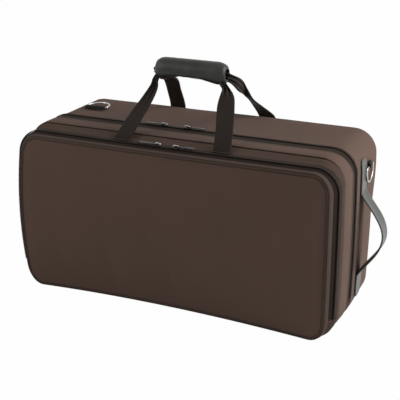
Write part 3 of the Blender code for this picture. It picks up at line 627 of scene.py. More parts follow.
def flat_bar(length: float, width: float, thickness: float, edge: float, cuts: int, across: int = 2) -> bmesh.types.BMesh:
    """A straight bar along X, cut for bending, with a UV map in metres.

    Args:
        length: Its length along X.
        width: Its width along Y.
        thickness: Its thickness along Z.
        edge: The radius of its long edges.
        cuts: How many stretches it has.
        across: How many parts its width has.

    Returns:
        The bar, from X 0 to its length.
    """
    bm = bmesh.new()
    bmesh.ops.create_cube(bm, size=1.0)
    bmesh.ops.scale(bm, vec=(length, width, thickness), verts=bm.verts)
    bmesh.ops.translate(bm, vec=(length / 2, 0.0, 0.0), verts=bm.verts)
    wide = [e for e in bm.edges if abs(e.verts[0].co.y - e.verts[1].co.y) > width / 2]
    bmesh.ops.subdivide_edges(bm, edges=wide, cuts=across - 1, use_grid_fill=True)
    corners = [
        e
        for e in bm.edges
        if abs(e.verts[0].co.x - e.verts[1].co.x) > length / 2
        and all(abs(abs(v.co.y) - width / 2) < 1e-6 for v in e.verts)
    ]
    bmesh.ops.bevel(
        bm, geom=corners, offset=edge, offset_type="OFFSET", affect="EDGES", segments=2, profile=0.5, material=-1
    )
    long_edges = [e for e in bm.edges if abs(e.verts[0].co.x - e.verts[1].co.x) > length / 2]
    bmesh.ops.subdivide_edges(bm, edges=long_edges, cuts=cuts - 1)
    layer = bm.loops.layers.uv.new("length")
    for face in bm.faces:
        for loop in face.loops:
            loop[layer].uv = (loop.vert.co.y, loop.vert.co.x)
    return bm


def follow(bm: bmesh.types.BMesh, track: Track, lift: Optional[Callable[[float, float], float]] = None) -> bmesh.types.BMesh:
    """Lays a bar along a track.

    Args:
        bm: The bar.
        track: The track.
        lift: How far a point of the bar stands out, from its place along and across.

    Returns:
        The bent bar.
    """
    if track.closed:
        ends = [f for f in bm.faces if abs(f.normal.x) > 0.9]
        bmesh.ops.delete(bm, geom=ends, context="FACES_ONLY")
    for vert in bm.verts:
        along, across, out = vert.co
        step = track.at(along)
        extra = lift(along, across) if lift else 0.0
        vert.co = step.place + step.across * across + step.out * (out + extra)
    if track.closed:
        bmesh.ops.remove_doubles(bm, verts=bm.verts, dist=1e-5)
    bmesh.ops.recalc_face_normals(bm, faces=bm.faces)
    return bm


def row_of_blocks(
    track: Track,
    pitch: float,
    size: tuple[float, float, float],
    start: float = 0.0,
    end: Optional[float] = None,
) -> bmesh.types.BMesh:
    """Small blocks along a track, such as stitches or zip teeth.

    Args:
        track: The track that their middles follow.
        pitch: From one block to the next.
        size: Their length along, width across and height.
        start: Where the first stands.
        end: Where the last may stand.

    Returns:
        The blocks.
    """
    bm = bmesh.new()
    last = track.length if end is None else end
    count = int((last - start) / pitch)
    for number in range(count + 1):
        distance = start + number * pitch
        step = track.at(distance)
        ahead = track.at(min(distance + pitch / 2, track.length)).place
        behind = track.at(max(distance - pitch / 2, 0.0)).place
        along = (ahead - behind).normalized()
        across = step.across.normalized()
        out = along.cross(across).normalized()
        turn = Matrix((along * size[0], across * size[1], out * size[2])).transposed().to_4x4()
        bmesh.ops.create_cube(bm, size=1.0, matrix=Matrix.Translation(step.place) @ turn)
    bmesh.ops.recalc_face_normals(bm, faces=bm.faces)
    return bm


def wire(points: Sequence[Vector], radius: float, closed: bool = False, sides: int = 3) -> bmesh.types.BMesh:
    """A round wire through points.

    Args:
        points: The points of its middle.
        radius: Its radius.
        closed: Whether it closes on itself.
        sides: Blender's bevel resolution.

    Returns:
        The wire's mesh.
    """
    curve = bpy.data.curves.new("wire", "CURVE")
    curve.dimensions = "3D"
    curve.bevel_depth = radius
    curve.bevel_resolution = sides
    curve.use_fill_caps = not closed
    spline = curve.splines.new("POLY")
    spline.points.add(len(points) - 1)
    for point, place in zip(spline.points, points):
        point.co = (*place, 1.0)
    spline.use_cyclic_u = closed
    holder = bpy.data.objects.new("wire", curve)
    bm = bmesh.new()
    mesh = holder.to_mesh()
    bm.from_mesh(mesh)
    holder.to_mesh_clear()
    bpy.data.objects.remove(holder)
    bmesh.ops.remove_doubles(bm, verts=bm.verts, dist=1e-6)
    bmesh.ops.recalc_face_normals(bm, faces=bm.faces)
    return bm


def smooth_path(stations: Sequence[Sequence[Vector]], per_span: int) -> list[list[Vector]]:
    """Smooth values through stations.

    Args:
        stations: Lists of equal length.
        per_span: Steps between two stations.

    Returns:
        The values at each step.
    """
    ends = [stations[0], *stations, stations[-1]]
    path = []
    for number in range(1, len(ends) - 2):
        p0, p1, p2, p3 = ends[number - 1 : number + 3]
        for step in range(per_span):
            t = step / per_span
            values = []
            for a, b, c, d in zip(p0, p1, p2, p3):
                bend = (2 * a - 5 * b + 4 * c - d) * t * t + (3 * b - a - 3 * c + d) * t**3
                values.append(0.5 * (2 * b + (c - a) * t + bend))
            path.append(values)
    path.append(list(stations[-1]))
    return path


def ramp(value: float, low: float, high: float) -> float:
    """A smooth step from 0 at low to 1 at high."""
    share = min(max((value - low) / (high - low), 0.0), 1.0)
    return share * share * (3 - 2 * share)


def creased(place: Vector, scale: float, seed: float = 0.0) -> float:
    """Smooth noise between about -1 and 1 at a place."""
    return noise.noise(place * scale + Vector((seed, seed, seed)))


# The case's outlines


@dataclass(frozen=True)
class Outline:
    """A rectangle with round corners in the XZ plane, with bowed sides and an arched bottom."""

    half: float
    low: float
    high: float
    radius: float
    bow: float = 0.003
    arch: float = 0.0

    def shaped(self, x: float, z: float) -> tuple[float, float]:
        """A point of the plain rectangle with the bow and the arch."""
        along = x / self.half
        middle, half_height = (self.low + self.high) / 2, (self.high - self.low) / 2
        up = (z - middle) / half_height
        bowed = x + self.bow * (1 - up * up) * along * abs(along) ** 3
        lifted = z + self.arch * (1 - along * along) * max(0.0, -up) ** 4
        return bowed, lifted

    def inward(self, x: float, z: float) -> Vector:
        """The direction from a point of the edge to the nearest corner's middle or across."""
        inner_x = min(max(x, -self.half + self.radius), self.half - self.radius)
        inner_z = min(max(z, self.low + self.radius), self.high - self.radius)
        return Vector((inner_x - x, 0.0, inner_z - z)).normalized()

    def depth(self, x: float, z: float) -> float:
        """How far inside the edge a point of the plain rectangle is."""
        over_x = abs(x) - (self.half - self.radius)
        over_z = max(z - (self.high - self.radius), self.low + self.radius - z)
        if over_x > 0 and over_z > 0:
            return self.radius - math.hypot(over_x, over_z)
        return min(self.half - abs(x), self.high - z, z - self.low)

    def grown(self, by: float) -> "Outline":
        """This outline with its edge moved outwards."""
        return Outline(
            self.half + by, self.low - by, self.high + by, max(self.radius + by, 0.004), self.bow, self.arch
        )

    def ring(self, spacing: float = 0.004) -> list[Vector]:
        """Points round the edge, from the middle of the bottom round by the left."""
        corners = (
            (-self.half + self.radius, self.low + self.radius, 270),
            (-self.half + self.radius, self.high - self.radius, 180),
            (self.half - self.radius, self.high - self.radius, 90),
            (self.half - self.radius, self.low + self.radius, 0),
        )
        turns = max(6, round(self.radius * math.pi / 2 / spacing))
        points = [(0.0, self.low)]
        for x, z, start in corners:
            for step in range(turns + 1):
                angle = math.radians(start - 90 * step / turns)
                end = (x + self.radius * math.cos(angle), z + self.radius * math.sin(angle))
                if step == 0:
                    points += self._between(points[-1], end, spacing)
                points.append(end)
        points += self._between(points[-1], points[0], spacing)
        return [Vector((x, 0.0, z)) for x, z in (self.shaped(*point) for point in points)]

    @staticmethod
    def _between(start: tuple[float, float], end: tuple[float, float], spacing: float) -> list[tuple[float, float]]:
        """Points on the straight between two points, without them."""
        reach = math.dist(start, end)
        count = max(1, round(reach / spacing))
        return [
            (start[0] + (end[0] - start[0]) * n / count, start[1] + (end[1] - start[1]) * n / count)
            for n in range(1, count)
        ]


@dataclass(frozen=True)
class CaseForm:
    """The sizes that every sub-assembly shares, as the CAD has them."""

    half: float = 0.280
    height: float = 0.290
    radius: float = 0.038
    zip_y: float = -0.030
    shell_depth: float = 0.125
    lid_depth: float = 0.054
    pocket_depth: float = 0.041
    taper: float = 0.007
    rise: float = 0.006
    tape: float = 0.015
    pocket_tape: float = 0.0085
    gusset_tape: float = 0.0150
    draw_side: float = 0.0105
    draw_top: float = 0.0055
    shell_tape: float = 0.0065
    top_tape: float = 0.0215
    rebate: float = 0.0018
    zip_end: float = 0.0403
    notch: float = 0.0064
    pocket_side: float = -0.001
    pocket_top: float = 0.009
    pocket_floor: float = 0.002
    pocket_radius: float = 0.037
    pocket_bow: float = 0.0047
    pocket_arch: float = 0.013
    bulge_high: float = 0.0135
    bulge_long: float = 0.004

    @property
    def lid_front(self) -> float:
        """Y of the lid's front face."""
        return self.zip_y - self.lid_depth

    @property
    def pocket_front(self) -> float:
        """Y of the pocket's front at its corners."""
        return self.lid_front - self.pocket_depth

    @property
    def back(self) -> float:
        """Y of the back face's edge."""
        return self.zip_y + self.shell_depth

    @property
    def pocket_zip_y(self) -> float:
        """Y of the pocket's zip at its corners."""
        return self.pocket_front + self.notch + self.pocket_tape

    def outline(self) -> Outline:
        """The outline of the lid and of the shell at the zip."""
        return Outline(self.half, 0.0, self.height, self.radius)

    def pocket(self, arch: bool = True) -> Outline:
        """The outline of the pocket."""
        return Outline(
            self.half - self.pocket_side,
            self.pocket_floor,
            self.height - self.pocket_top,
            self.pocket_radius,
            bow=self.pocket_bow,
            arch=self.pocket_arch if arch else 0.0,
        )

    def drawn(self, out: Vector) -> Vector:
        """How far the pocket's edge is drawn in for each metre in front of its zip.

        Args:
            out: The direction out of the edge.

        Returns:
            The movement.
        """
        run = self.notch + self.pocket_tape
        return Vector((-out.x * self.draw_side, 0.0, -max(out.z, 0.0) * self.draw_top)) / run

    def lid_reach(self, x: float, z: float) -> float:
        """How far the zip's tape reaches over the lid at a point of its edge, which is more on top."""
        up = max(0.0, -self.outline().inward(x, z).z)
        return self.tape + (self.top_tape - self.tape) * up * up

    def bulge(self, x: float, z: float) -> float:
        """How far the filled pocket pushes its front forwards."""
        along = min(1.0, abs(x) / self.half)
        up = min(1.0, abs(z - self.height / 2) / (self.height / 2))
        return self.bulge_high * (1 - up * up) + self.bulge_long * (1 - along * along)

    def tapered(self, place: Vector) -> Vector:
        """A point of the straight shell, with the back's taper and rise."""
        depth = place.y - self.zip_y - self.tape
        share = max(0.0, depth / (self.shell_depth - self.tape))
        x = place.x * (1 - self.taper * share / self.half)
        z = place.z * (1 + self.rise * share / self.height)
        return Vector((x, place.y, z))


FORM = CaseForm()


def edge_track(outline: Outline, y: Callable[[Vector], float], closed: bool, upper: bool = True) -> Track:
    """A track round an outline, or over its part above or below the zip's ends.

    Args:
        outline: The outline.
        y: The place along Y of a point of it.
        closed: Whether the track goes all the way round.
        upper: Which part an open track takes.

    Returns:
        The track, with its steps facing out of the outline.
    """
    ring = outline.ring()
    count = len(ring)
    steps = []
    for number, point in enumerate(ring):
        ahead = ring[(number + 1) % count] - ring[number - 1]
        out = Vector((-ahead.z, 0.0, ahead.x)).normalized()
        place = Vector((point.x, y(point), point.z))
        steps.append(Step(place, Vector((0.0, 1.0, 0.0)), out))
    if closed:
        return Track(steps, closed=True)
    if not upper:
        steps = steps[count // 2 :] + steps[: count // 2]
    kept = [step for step in steps if (step.place.z > FORM.zip_end) == upper]
    return Track(kept)


def rounded_block(
    outline: Outline, front: float, back: float, spacing: float, rims: Sequence[tuple[float, float]] = ()
) -> bmesh.types.BMesh:
    """A block with the outline's round corners, cut into a grid, before its bow and arch.

    Args:
        outline: Its outline.
        front: Its lowest Y.
        back: Its highest Y.
        spacing: The grid's spacing.
        rims: The Y of each end whose edge is rounded, with its radius.

    Returns:
        The block.
    """
    bm = bmesh.new()
    bmesh.ops.create_cube(bm, size=1.0)
    size = Vector((2 * outline.half, back - front, outline.high - outline.low))
    middle = Vector((0.0, (front + back) / 2, (outline.high + outline.low) / 2))
    bmesh.ops.scale(bm, vec=size, verts=bm.verts)
    bmesh.ops.translate(bm, vec=middle, verts=bm.verts)
    corners = [e for e in bm.edges if abs(e.verts[0].co.y - e.verts[1].co.y) > size.y / 2]
    bmesh.ops.bevel(
        bm,
        geom=corners,
        offset=outline.radius,
        offset_type="OFFSET",
        affect="EDGES",
        segments=12,
        profile=0.5,
        material=-1,
    )
    for end, radius in rims:
        rim = [e for e in bm.edges if all(abs(v.co.y - end) < 1e-6 for v in e.verts)]
        bmesh.ops.bevel(
            bm, geom=rim, offset=radius, offset_type="OFFSET", affect="EDGES", segments=4, profile=0.5, material=-1
        )
    for axis, (low, high) in ((0, (-outline.half, outline.half)), (2, (outline.low, outline.high))):
        count = round((high - low) / spacing)
        for number in range(1, count):
            cut(bm, axis, low + (high - low) * number / count)
    return bm


def cut(bm: bmesh.types.BMesh, axis: int, place: float) -> None:
    """Cuts a mesh across an axis."""
    normal = Vector((0.0, 0.0, 0.0))
    normal[axis] = 1.0
    bmesh.ops.bisect_plane(
        bm,
        geom=bm.verts[:] + bm.edges[:] + bm.faces[:],
        dist=1e-6,
        plane_co=normal * place,
        plane_no=normal,
    )


def finish_shell(bm: bmesh.types.BMesh, towards: Vector) -> None:
    """Points the faces of an open shell outwards, and splits those with many corners.

    Args:
        bm: The shell.
        towards: The way that its outermost face along it looks.
    """
    bmesh.ops.triangulate(bm, faces=[f for f in bm.faces if len(f.verts) > 4])
    bmesh.ops.recalc_face_normals(bm, faces=bm.faces)
    outer = max(bm.faces, key=lambda f: f.calc_center_median().dot(towards))
    if outer.normal.dot(towards) < 0:
        bmesh.ops.reverse_faces(bm, faces=bm.faces)


def remove_faces(bm: bmesh.types.BMesh, test: Callable[[bmesh.types.BMFace], bool]) -> None:
    """Deletes the faces that a test picks."""
    bmesh.ops.delete(bm, geom=[f for f in bm.faces if test(f)], context="FACES")


def settle(piece: bpy.types.Object, held: Callable[[Vector], bool], pressure: float, slack: float, reach: float) -> None:
    """Lets a piece of cloth settle under a little pressure, and keeps the shape that it takes.

    Args:
        piece: The cloth.
        held: Whether a point is sewn down.
        pressure: How hard it is pushed out.
        slack: How much wider than its frame it is cut.
        reach: How far a point may move.
    """
    before = [vert.co.copy() for vert in piece.data.vertices]
    pinned = piece.vertex_groups.new(name="pinned")
    pinned.add([number for number, place in enumerate(before) if held(place)], 1.0, "REPLACE")
    cloth = piece.modifiers.new("cloth", "CLOTH")
    cloth.settings.vertex_group_mass = "pinned"
    cloth.settings.use_pressure = True
    cloth.settings.uniform_pressure_force = pressure
    cloth.settings.shrink_min = -slack
    cloth.settings.quality = 6
    cloth.settings.mass = 0.4
    cloth.settings.effector_weights.gravity = 0.0
    cloth.collision_settings.use_collision = False
    cloth.point_cache.frame_start = 1
    cloth.point_cache.frame_end = 20
    for number in range(1, 21):
        bpy.context.scene.frame_set(number)
    settled = piece.evaluated_get(bpy.context.evaluated_depsgraph_get())
    after = [vert.co.copy() for vert in settled.data.vertices]
    piece.modifiers.remove(cloth)
    furthest = 0.0
    for vert, old, new in zip(piece.data.vertices, before, after):
        move = new - old
        furthest = max(furthest, move.length)
        vert.co = old + move * min(1.0, reach / max(move.length, 1e-9))
    bpy.context.scene.frame_set(1)
    LOG.info("%s settled by up to %.1f mm", piece.name, furthest * 1000)


def add_wall(piece: bpy.types.Object, thickness: float) -> None:
    """Gives an open cover its wall, on the inside."""
    wall = piece.modifiers.new("wall", "SOLIDIFY")
    wall.thickness = thickness
    wall.offset = -1.0
    wall.use_even_offset = True


# Back shell


@dataclass
class BackShell:
    """The deep shell: its cover and its rim under the zip tape."""

    form: CaseForm = field(default_factory=CaseForm)
    wall: float = 0.005
    rear_radius: float = 0.011
    crown: float = 0.003
    crown_run: float = 0.030
    swell: float = 0.0065
    spacing: float = 0.018
    fold: float = 0.0009

    def build(self) -> None:
        """Builds the cover."""
        form = self.form
        outline = form.outline()
        front = form.zip_y + 0.0003
        bm = rounded_block(outline, front, form.back, self.spacing, [(form.back, self.rear_radius)])
        remove_faces(bm, lambda f: abs(f.normal.y) > 0.9 and f.calc_center_median().y < form.zip_y + 0.01)
        step = form.zip_y + form.shell_tape
        for y in (step, step + self.fold, step + 3 * self.fold):
            cut(bm, 1, y)
        for number in range(1, 6):
            cut(bm, 1, step + (form.back - self.rear_radius - step) * number / 6)
        for vert in bm.verts:
            self.shape(vert, outline, step)
        finish_shell(bm, Vector((0.0, 1.0, 0.0)))
        cover = add_piece("back_cover", bm, BROWN_CLOTH, "back", ["back_shell"], sharp=60.0)
        add_wall(cover, self.wall)

    def shape(self, vert: bmesh.types.BMVert, outline: Outline, step: float) -> None:
        """Gives a point its rebate, bow, crown, taper and softness."""
        x, y, z = vert.co
        if y <= step + 1e-5:
            vert.co += outline.inward(x, z) * self.form.rebate
            x, y, z = vert.co
        bowed, _ = outline.shaped(x, z)
        inside = outline.depth(x, z)
        if y > self.form.back - 1e-4:
            y += self.crown * ramp(inside, self.rear_radius, self.rear_radius + self.crown_run)
        place = self.form.tapered(Vector((bowed, y, z)))
        deep = max(0.0, (y - self.form.zip_y) / self.form.shell_depth)
        place.x += self.swell * ramp(x, 0.15, 0.27) * ramp(z, 0.135, 0.240) * deep**4
        soft = 0.0007 * creased(place, 11.0) * ramp(y, step, step + 0.03)
        if z > 0.01:
            place += Vector((math.copysign(1, x) * soft * (abs(x) > 0.2), 0.0, soft * (z > 0.2)))
        vert.co = place


@dataclass
class LidShell:
    """The lid: its cover between the main zip and the pocket."""

    form: CaseForm = field(default_factory=CaseForm)
    wall: float = 0.005
    front_radius: float = 0.004
    spacing: float = 0.018
    fold: float = 0.0009

    def build(self) -> None:
        """Builds the cover."""
        form = self.form
        outline = form.outline()
        bm = rounded_block(outline, form.lid_front, form.zip_y - 0.0003, self.spacing, [(form.lid_front, self.front_radius)])
        remove_faces(bm, lambda f: abs(f.normal.y) > 0.9 and f.calc_center_median().y > form.zip_y - 0.01)
        step = form.zip_y - form.tape
        for y in (step, step - self.fold, step - 3 * self.fold, step - 0.012, step - 0.024):
            cut(bm, 1, y)
        for vert in bm.verts:
            x, y, z = vert.co
            more = form.lid_reach(x, z) - form.tape
            if y >= step - 1e-5:
                vert.co += outline.inward(x, z) * form.rebate
                x, y, z = vert.co
            bowed, _ = outline.shaped(x, z)
            puff = 0.0008 * ramp(step - y, 0.0, 0.008) * ramp(y - form.lid_front, 0.0, 0.020)
            place = Vector((bowed, y, z))
            if step - 3 * self.fold - 1e-5 <= y <= step + 1e-5:
                place.y -= more
            if z > 0.02:
                place -= outline.inward(x, z) * puff
            vert.co = place
        finish_shell(bm, Vector((0.0, -1.0, 0.0)))
        cover = add_piece("lid_cover", bm, BROWN_CLOTH, "lid", ["lid_shell"], sharp=60.0)
        add_wall(cover, self.wall)


# Zips


@dataclass
class Zip:
    """A zip round three sides: two tapes, two rows of teeth and the strips that hinge below."""

    name: str
    outline: Outline
    y: Callable[[Vector], float]
    reaches: tuple[Callable[[Vector], float], Callable[[Vector], float]]
    bodies: tuple[str, str]
    parts: tuple[str, str]
    hinge: str
    slant: Callable[[Vector], Vector] = lambda out: Vector()
    nominal: float = 0.012
    thickness: float = 0.0015
    gap: float = 0.0003
    tooth: tuple[float, float, float] = (0.0013, 0.0026, 0.0016)
    pitch: float = 0.0021

    def build(self) -> None:
        """Builds both sides."""
        base = self.outline.grown(-FORM.rebate)
        for side, body, part, reach in zip((1, -1), self.bodies, self.parts, self.reaches):
            level = self.gap + self.thickness / 2
            for upper, cloth, node in ((True, TAPE_CLOTH, f"{self.name}_zip_{part}_tape"), (False, DARK_CLOTH, f"{self.hinge}_{part}_side")):
                steps = []
                for step in edge_track(base, self.y, closed=False, upper=upper).steps:
                    width = reach(step.place)
                    across = step.across - self.slant(step.out) if side < 0 else step.across
                    place = step.place + across * (side * (width + self.gap) / 2) + step.out * level
                    steps.append(Step(place, across * ((width - self.gap) / self.nominal), step.out))
                track = Track(steps)
                bar = flat_bar(track.length, self.nominal, self.thickness, 0.0004, round(track.length / 0.006))
                add_piece(f"{node}_cloth", follow(bar, track), cloth, body, [node])
            chain = edge_track(base, self.y, closed=False).moved(side * 0.0011, 2 * level + self.tooth[2] / 2)
            offset = self.pitch / 2 if side < 0 else 0.0
            add_piece(
                f"{self.name}_zip_{part}_teeth",
                row_of_blocks(chain, self.pitch, self.tooth, start=0.002 + offset, end=chain.length - 0.002),
                TEETH,
                body,
            )


# Pocket


@dataclass
class Pocket:
    """The flat pocket in front of the lid: its gusset, its filled panel and its piping."""

    form: CaseForm = field(default_factory=CaseForm)
    wall: float = 0.0025
    piping: float = 0.0026
    spacing: float = 0.012
    band: float = 0.0055
    edge: float = 0.005
    flare_side: float = -0.0010
    flare_top: float = 0.0070

    def build(self) -> None:
        """Builds the gusset, the panel and the piping."""
        self.build_gusset()
        self.build_panel()
        self.build_piping()

    def build_gusset(self) -> None:
        """Builds the strip between the pocket's zip and the lid."""
        form = self.form
        outline = form.pocket()
        bm = rounded_block(outline, form.pocket_zip_y + 0.0003, form.lid_front - 0.0003, 0.03)
        remove_faces(bm, lambda f: abs(f.normal.y) > 0.9)
        tape_end = form.pocket_zip_y + form.gusset_tape
        rear = form.lid_front - 0.0003
        for y in (tape_end, tape_end + 0.0006, tape_end + 0.006, rear - 0.012, rear - 0.006, rear - 0.0025):
            cut(bm, 1, y)
        for vert in bm.verts:
            x, y, z = vert.co
            if y <= tape_end + 1e-5:
                vert.co += outline.inward(x, z) * form.rebate
                x, y, z = vert.co
            share = ramp(rear - y, 0.0, rear - tape_end)
            arch = replace(outline, arch=outline.arch * share, bow=0.003 + (outline.bow - 0.003) * share)
            side = outline.inward(x, z)
            rise = self.flare_top if side.z < 0 else 0.0
            flare = (self.flare_side * abs(side.x) + rise * abs(side.z)) * (1.0 - share) ** 1.6
            x, z = arch.shaped(x, z)
            push = form.bulge(x, z) * min(1.0, max(0.0, (rear - y) / (rear - tape_end)))
            vert.co = Vector((x, y - push, z)) - side * flare
        finish_shell(bm, Vector((0.0, 0.0, 1.0)))
        # The gusset wears the darker copy of the brown fabric: painted shade.
        gusset = add_piece("gusset_cover", bm, SHADED_GUSSET_CLOTH, "lid", ["pocket_gusset"], sharp=60.0)
        add_wall(gusset, self.wall)

    def build_panel(self) -> None:
        """Builds the filled front."""
        form = self.form
        outline = form.pocket()
        front = form.pocket_front
        rear = form.pocket_zip_y - 0.0003
        bm = rounded_block(outline, front, rear, self.spacing, [(front, self.edge)])
        remove_faces(bm, lambda f: abs(f.normal.y) > 0.9 and f.calc_center_median().y > rear - 1e-4)
        for y in (front + form.notch, front + form.notch + 0.0006):
            cut(bm, 1, y)
        for vert in bm.verts:
            x, y, z = vert.co
            inside = outline.depth(x, z)
            if y >= front + form.notch + 5e-4:
                vert.co += outline.inward(x, z) * form.rebate
                x, y, z = vert.co
            x, z = outline.shaped(x, z)
            push = form.bulge(x, z)
            soft = 0.0016 * creased(Vector((x, 0.0, z)), 9.0, 4.0) + 0.0006 * creased(Vector((x, 0.0, z)), 26.0, 9.0)
            push += soft * ramp(inside, 0.012, 0.07) * (y < front + 0.001)
            held = (form.pocket_zip_y - y) * (1.0 - ramp(inside, 0.0, 0.040))
            vert.co = Vector((x, y - push, z)) + form.drawn(-outline.inward(vert.co.x, vert.co.z)) * held
        finish_shell(bm, Vector((0.0, -1.0, 0.0)))
        panel = add_piece("pocket_front_panel", bm, FRONT_CLOTH, "pocket_front", ["pocket_panel"], sharp=60.0)
        settle(panel, lambda place: outline.depth(place.x, place.z) < 0.024, 1.2, 0.004, 0.0035)
        add_wall(panel, self.wall)

    def build_piping(self) -> None:
        """Builds the light bound edge round the front."""
        form = self.form
        outline = form.pocket().grown(-0.0002)
        y = form.pocket_front + 0.0030

        def place(point: Vector) -> float:
            """Y of the bound edge at a point."""
            return y - form.bulge(point.x, point.z)

        steps = []
        for step in edge_track(outline, place, closed=True).steps[:-1]:
            drawn = form.drawn(step.out)
            steps.append(Step(step.place + drawn * (form.pocket_zip_y - y), step.across - drawn, step.out))
        track = Track(steps, closed=True)
        bar = flat_bar(track.length, self.band, 0.0016, 0.0006, round(track.length / 0.006))
        add_piece("pocket_bound_edge", follow(bar, track), PIPING_CLOTH, "pocket_front", ["pocket_piping"])


# Handles


@dataclass(frozen=True)
class GripForm:
    """The sizes that both carrying straps and the wrapped grip share."""

    length: float = 0.118
    y: float = -0.040
    z: float = 0.391
    half_depth: float = 0.017
    half_height: float = 0.0195
    wall: float = 0.0026
    split: float = 62.0
    divide: float = 0.008
    spread: float = 0.0885
    shift: float = -0.007
    webbing: float = 0.030
    ply: float = 0.0024


GRIP = GripForm()
Station = tuple[tuple[float, float, float], tuple[float, float, float]]


@dataclass
class CarryStrap:
    """One carrying strap, from its left sewn end through the grip to its right one."""

    name: str
    body: str
    node: str
    stations: Sequence[Station]
    left: Sequence[Station] = ()
    fold: float = 0.0045

    def track(self) -> Track:
        """The strap's way, with its width drawn in where it is gathered."""
        right = [(Vector(place), Vector(half)) for place, half in self.stations]
        left = [
            (Vector((-place[0], *place[1:])), Vector((-half[0], *half[1:])))
            for place, half in self.left or self.stations
        ]
        sewn = right[0][0].z
        shifted = []
        for place, half in left + right[-2::-1]:
            share = min(1.0, max(0.0, (GRIP.z - place.z) / (GRIP.z - sewn)))
            shifted.append((place + Vector((GRIP.shift * share, 0.0, 0.0)), half))
        path = smooth_path(shifted, 10)
        steps = []
        for number, (place, half) in enumerate(path):
            ahead = path[min(number + 1, len(path) - 1)][0] - path[max(number - 1, 0)][0]
            out = ahead.cross(half).normalized()
            steps.append(Step(place, half / (GRIP.webbing / 2), out))
        return Track(steps)

    def build(self) -> None:
        """Builds the strap."""
        track = self.track()

        def gather(along: float, across: float) -> float:
            """How far the folds of the gathered strap stand out."""
            squeeze = 1.0 - min(1.0, track.at(along).across.length)
            return self.fold * squeeze * math.cos(across / GRIP.webbing * 5 * math.pi)

        bar = flat_bar(track.length, GRIP.webbing, GRIP.ply, 0.0008, round(track.length / 0.005), across=10)
        add_piece(f"{self.name}_webbing", follow(bar, track, gather), WEBBING, self.body, [self.node])


@dataclass
class WrappedGrip:
    """The soft wrap round both straps, and the flap that closes it behind."""

    form: GripForm = field(default_factory=GripForm)
    crease: float = 0.0010
    waist: float = 0.0085
    hem: float = 0.006
    round: float = 0.017
    narrow_left: float = 0.52
    narrow_right: float = 0.45
    longer: float = 0.007

    def build(self) -> None:
        """Builds the wrap, the flap and their hems."""
        split = self.form.split
        self.build_part("grip_wrap_leather", "front_handle", "grip_wrap", split + 2, 358 - split, 44)
        self.build_part("grip_flap_leather", "rear_handle", "grip_flap", -split, split, 24)

    def build_part(self, name: str, body: str, node: str, start: float, end: float, across: int) -> None:
        """Builds one arc of the wrap.

        Args:
            name: The piece's name.
            body: The body that it rides on.
            node: The node that it stands for.
            start: Where the arc starts, in degrees from the back over the top.
            end: Where it ends.
            across: How many parts it has round the axis.
        """
        form = self.form
        radius = (form.half_depth + form.half_height) / 2
        middle, sweep = math.radians(start + end) / 2, math.radians(end - start)
        bm = flat_bar(form.length, sweep * radius, form.wall, 0.0010, 48, across=across)
        for vert in bm.verts:
            along = vert.co.x - form.length / 2
            angle = middle + vert.co.y / radius
            vert.co = self.place(along, angle, vert.co.z)
        bmesh.ops.recalc_face_normals(bm, faces=bm.faces)
        bmesh.ops.smooth_vert(bm, verts=bm.verts, factor=0.3, use_axis_x=True, use_axis_y=True, use_axis_z=True)
        piece = add_piece(name, bm, GRIP_LEATHER, body, [node])

    def place(self, along: float, angle: float, lift: float) -> Vector:
        """A point of the wrap.

        Args:
            along: Its place along the grip, from the middle.
            angle: Its angle from the back over the top.
            lift: How far out of the wrap's middle surface it is.

        Returns:
            The point.
        """
        form = self.form
        share = abs(along) / (form.length / 2)
        near = max(0.0, (abs(along) - form.length / 2 + self.round) / self.round)
        fall = 1.0 - math.sqrt(max(1.0 - near * near, 0.0))
        ends = 1.0 - (self.narrow_left if along < 0 else self.narrow_right) * fall
        groove = 0.0009 * math.exp(-(((form.length / 2 - abs(along) - self.hem) / 0.0012) ** 2))
        folds = creased(Vector((along * 0.45, angle * 0.018, 0.0)), 60.0, 3.0)
        folds += 0.6 * creased(Vector((along, angle * 0.02, 0.0)), 95.0, 7.0)
        out = lift + self.crease * folds * (0.4 + 0.6 * ramp(-math.sin(angle), -0.5, 0.6)) - groove
        across = (form.half_depth - form.wall / 2) * ends + out
        upright = (form.half_height - form.wall / 2) * ends + out
        raised = self.waist * ramp(1.0 - share, 0.0, 0.75) * ramp(-math.sin(angle), 0.2, 0.95)
        y = form.y + across * math.cos(angle)
        x = along + self.longer * ramp(along, 0.015, form.length / 2)
        return Vector((x, y, form.z + upright * math.sin(angle) + raised))


